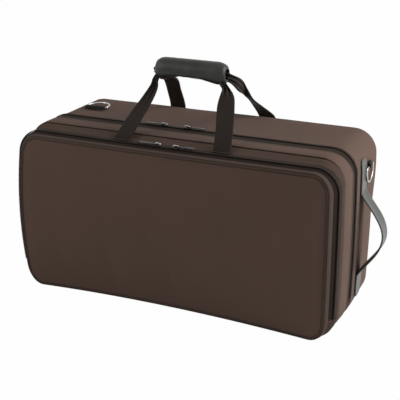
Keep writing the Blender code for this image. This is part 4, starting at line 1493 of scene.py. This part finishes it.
@dataclass
class EndHandle:
    """The leather-like strap on the right end, sewn down at both ends and bowed between."""

    y: float = 0.0115
    width: float = 0.032
    thickness: float = 0.0035
    top: float = 0.266
    bottom: float = 0.032
    sewn_top: float = 0.052
    sewn_bottom: float = 0.040
    reach: float = 0.038
    power: float = 1.25
    corner: float = 0.012

    def side(self, y: float, z: float) -> float:
        """X of the back shell's side at a place."""
        form = FORM
        share = max(0.0, (y - form.zip_y - form.tape) / (form.shell_depth - form.tape))
        half = form.half - form.taper * share
        top = form.height + form.rise * share
        up = (z - top / 2) / (top / 2)
        above = max(0.0, z - (top - form.radius), form.radius - z)
        corner = form.radius - math.sqrt(max(form.radius**2 - above**2, 0.0))
        return half - corner + 0.003 * (1 - up * up) * (1 - corner / half) ** 4

    def track(self) -> Track:
        """The strap's way from its upper end to its lower one."""
        upper, lower = self.top - self.sewn_top, self.bottom + self.sewn_bottom
        middle, bow = (upper + lower) / 2, (upper - lower) / 2
        path = [(self.top - self.sewn_top * n / 8, 0.0) for n in range(8)]
        for step in range(41):
            share = 1 - 2 * step / 40
            path.append((middle + bow * share, self.reach * max(0.0, math.cos(share * math.pi / 2)) ** self.power))
        path += [(self.bottom + self.sewn_bottom * (7 - n) / 8, 0.0) for n in range(8)]
        steps = []
        lift = 0.0003 + self.thickness / 2
        for z, out in path:
            front, rear = (Vector((self.side(y, z) + lift + out, y, z)) for y in (self.y - self.width / 2, self.y + self.width / 2))
            across = (rear - front) / self.width
            steps.append(((front + rear) / 2, across))
        track = []
        for number, (place, across) in enumerate(steps):
            ahead = steps[min(number + 1, len(steps) - 1)][0] - steps[max(number - 1, 0)][0]
            track.append(Step(place, across, across.cross(ahead).normalized()))
        return Track(track)

    def build(self) -> None:
        """Builds the strap and its two rows of stitches."""
        track = self.track()
        half = self.width / 2

        def shape(along: float, across: float) -> float:
            """The pressed edges, the full middle and small creases."""
            edge = abs(across) / half
            full = 0.0006 * (1 - edge * edge)
            return full + 0.0003 * creased(Vector((along, across, 0.0)), 45.0, 2.0)

        bar = flat_bar(track.length, self.width, self.thickness - 0.0008, 0.0011, 140, across=12)
        for vert in bar.verts:
            short = max(0.0, self.corner - max(0.0, min(vert.co.x, track.length - vert.co.x)))
            vert.co.y *= 1.0 - (self.corner - math.sqrt(max(0.0, self.corner**2 - short**2))) / half
        add_piece("end_handle_leather", follow(bar, track, shape), STRAP_LEATHER, "back", ["end_handle"])
        for side, word in ((-1, "front"), (1, "rear")):
            row = track.moved(side * (half - 0.0032), self.thickness / 2 - 0.0002)
            stitches = row_of_blocks(row, 0.0042, (0.0030, 0.0007, 0.0007), 0.003, row.length - 0.003)
            add_piece(f"end_handle_{word}_stitches", stitches, PALE_THREAD, "back")


def front_strap() -> CarryStrap:
    """The strap from the lid."""
    y, z = FORM.pocket_zip_y + FORM.pocket_tape + GRIP.ply / 2 + 0.0003, FORM.height - FORM.pocket_top + 0.0018
    half, end = GRIP.webbing / 2, GRIP.length / 2
    spread = GRIP.spread
    held = (
        ((end - 0.014, GRIP.y - 0.004, GRIP.z - 0.003), (0.0, half * 0.45, 0.0)),
        ((0.0, GRIP.y - 0.004, GRIP.z), (0.0, half * 0.45, 0.0)),
    )
    right = (
        ((spread + 0.003, y, z), (half, 0.0, 0.0)),
        ((spread - 0.001, y + 0.014, z + 0.030), (half, 0.0, 0.0)),
        ((spread - 0.009, y + 0.032, z + 0.062), (half, 0.0, 0.0)),
        ((spread - 0.013, y + 0.043, z + 0.080), (half * 0.72, 0.002, 0.0)),
        ((end + 0.008, GRIP.y - 0.009, GRIP.z - 0.019), (0.003, 0.005, -0.001)),
    )
    left = (
        ((spread - 0.002, y, z), (half, 0.0, 0.0)),
        ((spread - 0.0145, y + 0.014, z + 0.030), (half * 0.92, 0.0, 0.0)),
        ((spread - 0.0280, y + 0.032, z + 0.062), (half * 0.72, 0.0, 0.0)),
        ((spread - 0.0345, y + 0.043, z + 0.082), (half * 0.50, 0.002, 0.0)),
        ((end - 0.004, GRIP.y - 0.009, GRIP.z - 0.014), (0.004, 0.004, -0.001)),
    )
    return CarryStrap("front_handle", "front_handle", "front_handle_strap", right + held, left + held)


def rear_strap() -> CarryStrap:
    """The strap from the back."""
    z = FORM.height + FORM.rise - 0.015
    y = FORM.back + 0.0004 + 1.5 * GRIP.ply + 0.0006
    half, end = GRIP.webbing / 2, GRIP.length / 2
    inner = GRIP.y + GRIP.divide + GRIP.ply / 2 + 0.0003
    spread = GRIP.spread
    held = (
        ((end + 0.009, inner + 0.003, GRIP.z - 0.009), (0.001, 0.0, half * 0.5)),
        ((end - 0.012, inner, GRIP.z - 0.002), (0.0, 0.0, half * 0.6)),
        ((0.0, inner, GRIP.z), (0.0, 0.0, half * 0.6)),
    )
    right = (
        ((spread, y, z), (half, 0.0, 0.0)),
        ((spread - 0.003, y - 0.001, z + 0.014), (half, 0.0, 0.0)),
        ((spread - 0.015, y - 0.014, z + 0.032), (half * 0.8, -half * 0.45, 0.001)),
        ((spread - 0.0215, y - 0.035, z + 0.049), (half * 0.6, -half * 0.7, 0.002)),
        ((spread - 0.0245, y - 0.056, z + 0.067), (half * 0.35, -half * 0.4, 0.008)),
        ((end + 0.010, y - 0.092, z + 0.084), (0.002, 0.0, half * 0.7)),
    )
    left = (
        ((spread, y, z), (half, 0.0, 0.0)),
        ((spread - 0.003, y - 0.001, z + 0.014), (half, 0.0, 0.0)),
        ((spread - 0.0134, y - 0.040, z + 0.050), (half * 0.9, 0.0, -0.002)),
        ((end + 0.001, y - 0.090, z + 0.083), (half * 0.8, 0.0, -0.002)),
    )
    return CarryStrap("rear_handle", "rear_handle", "rear_handle_strap", right + held, left + held)


# Seams


def stitch_row(name: str, track: Track, body: str) -> None:
    """A row of stitches along a track.

    Args:
        name: The piece's name.
        track: The track on the cloth's surface.
        body: The body that it rides on.
    """
    blocks = row_of_blocks(track, 0.0042, (0.0029, 0.0006, 0.0005), 0.002, track.length - 0.002)
    add_piece(name, blocks, THREAD, body)


@dataclass
class Seams:
    """The stitched edges of the covers and the light binding of the lid."""

    setback: float = 0.0022
    lift: float = 0.0001
    binding: float = 0.0032

    def build(self) -> None:
        """Builds every row and the binding."""
        form = FORM
        shell = form.outline()

        def reach(side: int, point: Vector) -> float:
            """Y of the tape's far edge on the shell or on the lid."""
            return form.zip_y + (form.shell_tape if side > 0 else -form.lid_reach(point.x, point.z))

        for name, side, body in (("back_edge_stitches", 1, "back"), ("lid_edge_stitches", -1, "lid")):
            track = edge_track(shell, lambda point: reach(side, point) + side * self.setback, closed=False)
            stitch_row(name, track.moved(0.0, self.lift), body)
        # The lid's piping in the crease between lid and gusset: a real cord, whose dark colour is painted shade.
        crease = edge_track(shell.grown(-0.0010), lambda point: form.lid_front - 0.0002, closed=False)
        add_piece("lid_piping_shade_cord", wire([step.place for step in crease.steps], 0.0008), SEAM_SHADE_CLOTH, "lid", ["lid_piping"])
        track = edge_track(shell, lambda point: reach(-1, point) - self.binding / 2, closed=False).moved(0.0, 0.0002)
        bar = flat_bar(track.length, self.binding, 0.0014, 0.0005, round(track.length / 0.006))
        add_piece("lid_bound_edge", follow(bar, track), EDGE_CLOTH, "lid")
        inset = 0.0050
        inside = form.pocket().grown(-inset)
        front = form.pocket_front + 0.0001
        track = edge_track(inside, lambda point: front - form.bulge(point.x, point.z), closed=True)
        share = (form.pocket_zip_y - front) * (1.0 - ramp(inset, 0.0, 0.040))
        seam = [
            Step(step.place + form.drawn(step.out) * share, step.out, Vector((0.0, -1.0, 0.0)))
            for step in track.steps[:-1]
        ]
        # A dark cord along the panel's seam where there is only the seam's shade: painted shadow.
        add_piece("panel_seam_shadow_cord", wire([step.place for step in seam], 0.0007, closed=True), SEAM_SHADE_CLOTH, "pocket_front")
        outer = [Step(step.place + step.across * 0.0018, step.across, step.out) for step in seam]
        stitch_row("panel_edge_stitches", Track(outer, closed=True), "pocket_front")


# Metal pieces


def rounded_plate(size: Vector, corner: float, edge: float) -> bmesh.types.BMesh:
    """A plate about the origin with round corners in plan and rounded rims.

    Args:
        size: Its length, width and thickness.
        corner: The radius of its corners in plan.
        edge: The radius of its rims.

    Returns:
        The plate.
    """
    bm = bmesh.new()
    bmesh.ops.create_cube(bm, size=1.0)
    bmesh.ops.scale(bm, vec=size, verts=bm.verts)
    upright = [e for e in bm.edges if abs(e.verts[0].co.z - e.verts[1].co.z) > size.z / 2]
    bmesh.ops.bevel(
        bm, geom=upright, offset=corner, offset_type="OFFSET", affect="EDGES", segments=5, profile=0.5, material=-1
    )
    rims = [e for e in bm.edges if abs(e.verts[0].co.z - e.verts[1].co.z) < size.z / 4]
    bmesh.ops.bevel(
        bm, geom=rims, offset=edge, offset_type="OFFSET", affect="EDGES", segments=2, profile=0.5, material=-1
    )
    return bm


def placed(bm: bmesh.types.BMesh, place: Vector, along: Vector, across: Vector) -> bmesh.types.BMesh:
    """Moves a piece from the origin to its place, with its X and Y axes turned."""
    turn = Matrix((along, across, along.cross(across))).transposed().to_4x4()
    bmesh.ops.transform(bm, matrix=Matrix.Translation(place) @ turn, verts=bm.verts)
    return bm


def merged(first: bmesh.types.BMesh, second: bmesh.types.BMesh) -> bmesh.types.BMesh:
    """The first mesh with the second added, which is freed."""
    mesh = bpy.data.meshes.new("added")
    second.to_mesh(mesh)
    second.free()
    first.from_mesh(mesh)
    bpy.data.meshes.remove(mesh)
    return first


@dataclass
class Slider:
    """One slider on a zip, with the pull that swings in its bridge."""

    name: str
    plate: float = 0.0024
    width: float = 0.0092
    length: float = 0.0126
    wire: float = 0.0008
    opening: float = 0.0024
    tongue_start: float = 0.0046
    tongue_width: float = 0.0074
    tongue: float = 0.0013
    recess: float = 0.0003

    def build(self) -> None:
        """Builds the slider and its pull."""
        low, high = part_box(f"{self.name}_slider")
        pull_low, pull_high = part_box(f"{self.name}_pull")
        middle = (low + high) / 2
        towards = math.copysign(1.0, (pull_low + pull_high).x / 2 - middle.x)
        along, across = Vector((towards, 0.0, 0.0)), Vector((0.0, towards, 0.0))
        top = low.z + self.plate
        body = self.body()
        placed(body, Vector((middle.x, middle.y, low.z + self.plate / 2)), along, across)
        bridge = wire(self.bridge_points(), self.wire)
        placed(bridge, Vector((middle.x, middle.y, top)), along, across)
        add_piece(f"{self.name}_slider_body", body, DARK_METAL, f"{self.name}_slider", [f"{self.name}_slider"])
        # The bridge wears the brighter copy of the slider's metal for its glints: painted highlight.
        add_piece(f"{self.name}_slider_bridge", bridge, GLINT_METAL, f"{self.name}_slider")
        pull = self.pull(pull_high.x - pull_low.x - self.wire)
        placed(pull, Vector((middle.x, middle.y, top + self.opening / 2)), along, across)
        add_piece(f"{self.name}_pull_tongue", pull, DARK_METAL, f"{self.name}_pull", [f"{self.name}_pull"])

    def body(self) -> bmesh.types.BMesh:
        """The slider's plate, narrower where the zip is closed."""
        bm = rounded_plate(Vector((self.length, self.width, self.plate)), 0.0028, 0.0007)
        for vert in bm.verts:
            share = vert.co.x / self.length + 0.5
            vert.co.y *= 0.74 + 0.26 * ramp(share, 0.0, 0.6)
        return bm

    def bridge_points(self) -> list[Vector]:
        """The bridge's way over the plate."""
        half, high = 0.0044, self.opening + self.wire
        points = []
        for step in range(17):
            angle = math.pi * step / 16
            side, rise = math.cos(angle), math.sin(angle)
            wide = math.copysign(abs(side) ** 0.45, side)
            points.append(Vector((-half * wide, 0.0, high * rise**0.45 - 0.0004)))
        return points

    def pull(self, reach: float) -> bmesh.types.BMesh:
        """The pull: a wire eye and a tongue with a recess on both sides."""
        eye = []
        for step in range(20):
            angle = 2 * math.pi * step / 20
            side, rise = math.cos(angle), math.sin(angle)
            x = 0.0030 + 0.0030 * math.copysign(abs(side) ** 0.6, side)
            eye.append(Vector((x, 0.0027 * math.copysign(abs(rise) ** 0.6, rise), 0.0)))
        bm = rounded_plate(Vector((reach - self.tongue_start, self.tongue_width, self.tongue)), 0.0028, 0.0004)
        for side in (1, -1):
            flat = [f for f in bm.faces if f.normal.z * side > 0.9 and f.calc_area() > 1e-5]
            bmesh.ops.inset_region(bm, faces=flat, thickness=0.0012, use_even_offset=True)
            corners = {v for f in flat for v in f.verts}
            bmesh.ops.translate(bm, vec=(0.0, 0.0, -side * self.recess), verts=list(corners))
        middle = (self.tongue_start + reach) / 2
        for vert in bm.verts:
            share = vert.co.x / (reach - self.tongue_start) + 0.5
            vert.co.y *= 0.72 + 0.28 * ramp(share, 0.0, 0.7)
            vert.co.x += middle
        return merged(bm, wire(eye, self.wire, closed=True))


@dataclass
class CarryRing:
    """A D-ring for a shoulder strap, held by a folded piece of webbing."""

    name: str
    place: Vector
    along: Vector
    away: Vector
    width: float = 0.043
    depth: float = 0.0265
    wire: float = 0.0018
    corner: float = 0.004
    tab_width: float = 0.034
    tab_length: float = 0.0135
    ply: float = 0.0012
    lie: float = 0.0

    def build(self) -> None:
        """Builds the ring and its tab."""
        points = [self.place + self.along * along + self.away * down for along, down in self.outline()]
        add_piece(f"{self.name}_wire", wire(points, self.wire, closed=True, sides=4), NICKEL, self.name, [self.name])
        self.build_tab()

    def outline(self) -> list[tuple[float, float]]:
        """Points round the ring: its straight bar, two tight corners and the round side."""
        half, points = self.width / 2, []
        for sign, start in ((1, 270), (-1, 180)):
            turn = [
                (
                    sign * (half - self.corner) + self.corner * math.cos(math.radians(start + 15 * step)),
                    self.corner + self.corner * math.sin(math.radians(start + 15 * step)),
                )
                for step in range(7)
            ]
            points.append(turn)
        arc = [
            (half * math.cos(math.pi * step / 24), self.corner + (self.depth - self.corner) * math.sin(math.pi * step / 24))
            for step in range(1, 24)
        ]
        return points[0] + arc + points[1]

    def build_tab(self) -> None:
        """Builds the webbing, which is sewn down, runs round the bar and comes back on top of itself."""
        out = self.along.cross(self.away).normalized()
        if out.dot(self.place - Vector((0.0, self.place.y, 0.15))) < 0:
            out.negate()
        back = -self.away.normalized()
        reach, turn = self.tab_length, self.wire + self.ply / 2 + 0.0003
        sewn = -(self.wire + self.lie)
        stations = [(reach, sewn), (reach * 0.62, sewn), (0.0040, -turn)]
        stations += [(turn * math.sin(math.radians(angle)), -turn * math.cos(math.radians(angle))) for angle in range(-10, -180, -20)]
        stations += [(0.0040, turn * 0.80), (reach * 0.62, sewn + self.ply * 1.5), (reach * 0.96, sewn + self.ply * 1.2)]
        path = [self.place + back * far + out * high for far, high in stations]
        fine = smooth_path([[point] for point in path], 4)
        steps = []
        for number, (point,) in enumerate(fine):
            ahead = fine[min(number + 1, len(fine) - 1)][0] - fine[max(number - 1, 0)][0]
            steps.append(Step(point, self.along, self.along.cross(ahead).normalized()))
        track = Track(steps)
        bar = flat_bar(track.length, self.tab_width, self.ply, 0.0004, 40, across=4)
        add_piece(f"{self.name}_webbing", follow(bar, track), TAB_WEBBING, "back", [f"{self.name}_tab"])
        top = self.place + back * (reach * 0.55) + out * (sewn + self.ply * 2.1)
        half = self.along * (self.tab_width / 2 - 0.003)
        row = Track([Step(top + half * share, back, out) for share in (-1.0, -0.5, 0.0, 0.5, 1.0)])
        stitch_row(f"{self.name}_tab_stitches", row, "back")


def build_metal() -> None:
    """Builds the sliders, the pulls, the rings and their tabs."""
    for zip_name in ("main", "pocket"):
        for side in ("left", "right"):
            Slider(f"{zip_name}_{side}").build()
    rise = math.atan2(0.006, 0.110)
    lean = math.radians(1.5)
    CarryRing(
        "left_ring",
        Vector((-0.2151, 0.01979, 0.2963)),
        Vector((math.cos(lean), 0.0, math.sin(lean))),
        Vector((0.0, math.cos(rise), math.sin(rise))),
        wire=0.0015,
        tab_width=0.0395,
        tab_length=0.007,
        ply=0.0009,
    ).build()
    taper = math.atan2(0.007, 0.110)
    hang = Vector((0.3 * math.sin(taper), 0.0, -1.0)).normalized()
    CarryRing(
        "right_ring",
        Vector((0.28278, 0.04174, 0.24757)),
        Vector((math.sin(taper), -math.cos(taper), 0.0)),
        hang,
        wire=0.0014,
        tab_width=0.015,
        tab_length=0.008,
    ).build()


# Inside


@dataclass
class Lining:
    """A plush lining: a soft tray inside a shell."""

    node: str
    body: str
    open_y: float
    deep_y: float
    inset: float = 0.0074
    edge: float = 0.006
    wall: float = 0.003
    spacing: float = 0.024
    soft: float = 0.0006

    def build(self) -> None:
        """Builds the tray."""
        outline = FORM.outline().grown(-self.inset)
        front, back = min(self.open_y, self.deep_y), max(self.open_y, self.deep_y)
        bm = rounded_block(outline, front, back, self.spacing, [(self.deep_y, self.edge)])
        remove_faces(bm, lambda f: abs(f.normal.y) > 0.9 and abs(f.calc_center_median().y - self.open_y) < 0.01)
        for share in (0.25, 0.5, 0.75):
            cut(bm, 1, front + (back - front) * share)
        for vert in bm.verts:
            x, y, z = vert.co
            bowed, _ = outline.shaped(x, z)
            soft = self.soft * (0.5 + 0.5 * creased(vert.co, 14.0, 3.0))
            place = Vector((bowed, y, z))
            vert.co = (FORM.tapered(place) if y > FORM.zip_y else place) + outline.inward(x, z) * soft
        finish_shell(bm, Vector((0.0, self.deep_y - self.open_y, 0.0)))
        tray = add_piece(f"{self.node}_plush", bm, PILE, self.body, [self.node], sharp=60.0)
        add_wall(tray, self.wall)


@dataclass
class PaddedBlock:
    """A foam block under plush, rounded from its CAD shape."""

    node: str
    finish: Finish
    body: str = "back"
    voxel: float = 0.004
    rounds: int = 6

    def build(self) -> None:
        """Copies the CAD shape, closes it into an even skin and softens it."""
        bm = bmesh.new()
        bm.from_mesh(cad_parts[self.node].data)
        bmesh.ops.remove_doubles(bm, verts=bm.verts, dist=1e-6)
        piece = add_piece(f"{self.node}_pad", bm, self.finish, self.body, [self.node])
        skin = piece.modifiers.new("skin", "REMESH")
        skin.mode = "VOXEL"
        skin.voxel_size = self.voxel
        skin.use_smooth_shade = True
        soft = piece.modifiers.new("soft", "SMOOTH")
        soft.factor = 0.5
        soft.iterations = self.rounds


@dataclass
class FlatWebbing:
    """A flat piece of webbing with a box of stitches at its sewn end."""

    name: str
    node: str
    body: str
    places: Sequence[Vector]
    across: Vector
    width: float
    thickness: float
    sewn: float = 0.020
    finish: Finish = TAB_WEBBING

    def build(self) -> None:
        """Builds the webbing and its stitches."""
        fine = smooth_path([[place] for place in self.places], 8)
        steps = []
        for number, (place,) in enumerate(fine):
            ahead = fine[min(number + 1, len(fine) - 1)][0] - fine[max(number - 1, 0)][0]
            steps.append(Step(place, self.across, self.across.cross(ahead).normalized()))
        track = Track(steps)
        bar = flat_bar(track.length, self.width, self.thickness, 0.0005, 48, across=4)
        add_piece(self.name, follow(bar, track), self.finish, self.body, [self.node] if self.node else [])
        side = self.width / 2 - 0.0035
        box = [(0.0035, -side), (self.sewn, -side), (self.sewn, side), (0.0035, side), (0.0035, -side), (self.sewn, side)]
        corners = []
        for along, across in box:
            step = track.at(along)
            corners.append(Step(step.place + step.across * across + step.out * (self.thickness / 2), step.across, step.out))
        for number, (start, end) in enumerate(zip(corners, corners[1:]), start=1):
            run = (end.place - start.place).normalized()
            row = [Step(step.place, step.out.cross(run), step.out) for step in (start, end)]
            stitch_row(f"{self.name}_stitches_{number}", Track(row), self.body)


def build_inside() -> None:
    """Builds the linings, the instrument bed, the accessory box and the retaining straps."""
    Lining("back_lining", "back", -0.026, 0.0876).build()
    Lining("lid_lining", "lid", -0.034, -0.0766).build()
    PaddedBlock("instrument_bed", BED_PILE).build()
    PaddedBlock("accessory_box", PILE, voxel=0.0016, rounds=3).build()
    PaddedBlock("accessory_lid", PILE, body="accessory_lid", voxel=0.0010, rounds=3).build()
    PaddedBlock("left_mouthpiece_block", PILE, voxel=0.0018, rounds=3).build()
    PaddedBlock("right_mouthpiece_block", PILE, voxel=0.0018, rounds=3).build()
    for word, middle, start, way in (("lower", 0.045, 0.115, -1), ("upper", -0.045, 0.175, 1)):
        places = [
            Vector((middle, -y, start + way * reach))
            for reach, y in ((0.0, 0.0054), (0.030, 0.0054), (0.062, 0.0054), (0.072, 0.0061), (0.090, 0.0061))
        ]
        node = f"{word}_retaining_strap"
        FlatWebbing(f"{word}_retaining_webbing", node, node, places, Vector((way, 0.0, 0.0)), 0.038, 0.0017).build()
        hook_patch(word, Vector((middle, -0.0046, start + way * 0.082)))
    places = [Vector((0.0, -0.0089, z)) for z in (0.155, 0.161, 0.167, 0.173)]
    FlatWebbing(
        "accessory_lid_webbing", "accessory_lid_tab", "accessory_lid", places, Vector((1.0, 0.0, 0.0)), 0.014, 0.0018, 0.009
    ).build()


def build_anchors() -> None:
    """Builds the rear strap's sewn ends on the back."""
    for word, middle in (("left", -0.0955), ("right", 0.0815)):
        places = [
            Vector((middle, y, z))
            for z, y in ((0.281, 0.0967), (0.271, 0.0979), (0.262, 0.0991), (0.250, 0.0995), (0.236, 0.0995))
        ]
        front = FORM.pocket_zip_y + 0.0018
        rear, level = FORM.pocket_zip_y + FORM.gusset_tape + 0.0035, FORM.height - FORM.pocket_top
        flat = [Vector((middle + 0.0045, y, level + 0.0006 + 0.0010 * n / 4)) for n, y in enumerate((rear, rear - 0.003, (rear + front) / 2, front + 0.002, front))][::-1]
        FlatWebbing(f"front_handle_{word}_end_webbing", "", "lid", flat, Vector((1.0, 0.0, 0.0)), 0.030, 0.0014, 0.009, WEBBING).build()
        node = f"rear_handle_{word}_anchor"
        FlatWebbing(f"{node}_webbing", node, "back", places, Vector((1.0, 0.0, 0.0)), 0.030, 0.0022, 0.034, WEBBING).build()


def hook_patch(word: str, middle: Vector) -> None:
    """A patch of hook tape with its rows of hooks.

    Args:
        word: Which of the two it is.
        middle: Its middle.
    """
    bm = rounded_plate(Vector((0.034, 0.016, 0.0006)), 0.0015, 0.0002)
    for number in range(9):
        across = -0.0064 + 0.0016 * number
        ends = (Vector((-0.0155, across, 0.00035)), Vector((0.0155, across, 0.00035)))
        track = Track([Step(end, Vector((0.0, 1.0, 0.0)), Vector((0.0, 0.0, 1.0))) for end in ends])
        bm = merged(bm, row_of_blocks(track, 0.0016, (0.0005, 0.0005, 0.0004), 0.0, 0.031))
    placed(bm, middle, Vector((1.0, 0.0, 0.0)), Vector((0.0, 0.0, 1.0)))
    add_piece(f"{word}_hooks", bm, HOOKS, "back", [f"{word}_hook_patch"])


# Stage


@dataclass(frozen=True)
class Studio:
    """The camera, the lamps, the world and the pale floor."""

    target: tuple[float, float, float] = (0.004, -0.025, 0.159)
    distance: float = 1.7028
    azimuth: float = 25.787
    elevation: float = 19.254
    lens: float = 90.41
    shift: tuple[float, float] = (0.0097, 0.0123)

    def build(self) -> None:
        """Sets the stage."""
        bpy.context.scene.view_settings.view_transform = "Standard"
        self.place_camera()
        self.light_world()
        self.place_lamps()
        self.lay_floor()

    def place_camera(self) -> None:
        """Puts the camera at the photograph's angle."""
        turn, lift = math.radians(self.azimuth), math.radians(self.elevation)
        away = Vector((math.sin(turn) * math.cos(lift), -math.cos(turn) * math.cos(lift), math.sin(lift)))
        data = bpy.data.cameras.new("photo_camera")
        data.lens = self.lens
        data.shift_x, data.shift_y = self.shift
        camera = bpy.data.objects.new("photo_camera", data)
        camera.location = Vector(self.target) + away * self.distance
        camera.rotation_euler = (-away).to_track_quat("-Z", "Y").to_euler()
        bpy.context.scene.collection.objects.link(camera)
        bpy.context.scene.camera = camera

    def light_world(self) -> None:
        """A soft even world that the camera sees as white."""
        world = bpy.data.worlds.new("studio_world")
        world.use_nodes = True
        bpy.context.scene.world = world
        tree = world.node_tree
        soft = tree.nodes["Background"]
        soft.inputs["Color"].default_value = (1.0, 1.0, 1.0, 1.0)
        soft.inputs["Strength"].default_value = 0.15
        white = tree.nodes.new("ShaderNodeBackground")
        path = tree.nodes.new("ShaderNodeLightPath")
        either = tree.nodes.new("ShaderNodeMath")
        either.operation = "MAXIMUM"
        seen = tree.nodes.new("ShaderNodeMath")
        seen.operation = "MAXIMUM"
        mixed = tree.nodes.new("ShaderNodeMixShader")
        tree.links.new(path.outputs["Is Camera Ray"], either.inputs[0])
        tree.links.new(path.outputs["Is Transmission Ray"], either.inputs[1])
        tree.links.new(either.outputs[0], seen.inputs[0])
        tree.links.new(path.outputs["Is Glossy Ray"], seen.inputs[1])
        tree.links.new(seen.outputs[0], mixed.inputs["Fac"])
        tree.links.new(soft.outputs[0], mixed.inputs[1])
        tree.links.new(white.outputs[0], mixed.inputs[2])
        tree.links.new(mixed.outputs[0], tree.nodes["World Output"].inputs["Surface"])

    def place_lamps(self) -> None:
        """Hangs a broad lamp to the right and above, and a weak one in front."""
        for name, place, size, energy in (
            ("key_lamp", (2.0, 0.35, 1.35), 1.6, 43.0),
            ("front_lamp", (-1.15, -0.9, 1.0), 1.0, 5.5),
        ):
            data = bpy.data.lights.new(name, "AREA")
            data.energy = energy
            data.size = size
            lamp = bpy.data.objects.new(name, data)
            lamp.location = place
            lamp.rotation_euler = (Vector((0.0, 0.0, 0.15)) - Vector(place)).to_track_quat("-Z", "Y").to_euler()
            bpy.context.scene.collection.objects.link(lamp)

    def lay_floor(self) -> None:
        """A pale floor that keeps the object's shadow."""
        bm = bmesh.new()
        bmesh.ops.create_grid(bm, x_segments=1, y_segments=1, size=12.0)
        bmesh.ops.translate(bm, vec=(0.0, 0.0, -0.0004), verts=bm.verts)
        mesh = bpy.data.meshes.new("floor")
        bm.to_mesh(mesh)
        bm.free()
        floor = bpy.data.objects.new("floor", mesh)
        bpy.context.scene.collection.objects.link(floor)
        graph = Graph("pale_floor")
        graph.colour((0.66, 0.66, 0.66, 1.0))
        graph.constant("Roughness", 0.9)
        paths = graph.tree.nodes.new("ShaderNodeLightPath")
        camera = Value(graph, paths.outputs["Is Camera Ray"])
        glossy = Value(graph, paths.outputs["Is Glossy Ray"])
        through = Value(graph, paths.outputs["Is Transmission Ray"])
        seen = graph.math("MAXIMUM", graph.math("MAXIMUM", camera, glossy), through)
        glow = graph.make("ShaderNodeEmission", {}, {"Color": (1.0, 1.0, 1.0, 1.0), "Strength": 1.0})
        body = Value(graph, graph.shader.outputs[0])
        mixed = graph.make("ShaderNodeMixShader", {}, {0: seen * 0.985, 1: body, 2: glow})
        graph.tree.links.new(mixed.socket, graph.tree.nodes["Material Output"].inputs["Surface"])
        mesh.materials.append(graph.material)


def build_zips() -> None:
    """Builds the main zip and the pocket's zip."""
    Zip("main", FORM.outline(), lambda point: FORM.zip_y, (lambda place: FORM.shell_tape, lambda place: FORM.lid_reach(place.x, place.z)), ("back", "lid"), ("shell", "lid"), "hinge_strip").build()
    Zip(
        "pocket",
        FORM.pocket(),
        lambda point: FORM.pocket_zip_y - FORM.bulge(point.x, point.z),
        (lambda place: FORM.gusset_tape, lambda place: FORM.pocket_tape),
        ("lid", "pocket_front"),
        ("lid", "panel"),
        "pocket_fold",
        slant=FORM.drawn,
    ).build()


def main() -> None:
    """Builds and dresses the whole case."""
    logging.basicConfig(level=logging.INFO, format="%(message)s")
    Studio().build()
    BackShell().build()
    LidShell().build()
    build_zips()
    Pocket().build()
    Seams().build()
    front_strap().build()
    rear_strap().build()
    WrappedGrip().build()
    EndHandle().build()
    build_anchors()
    build_metal()
    build_inside()


if __name__ == "__main__":
    main()
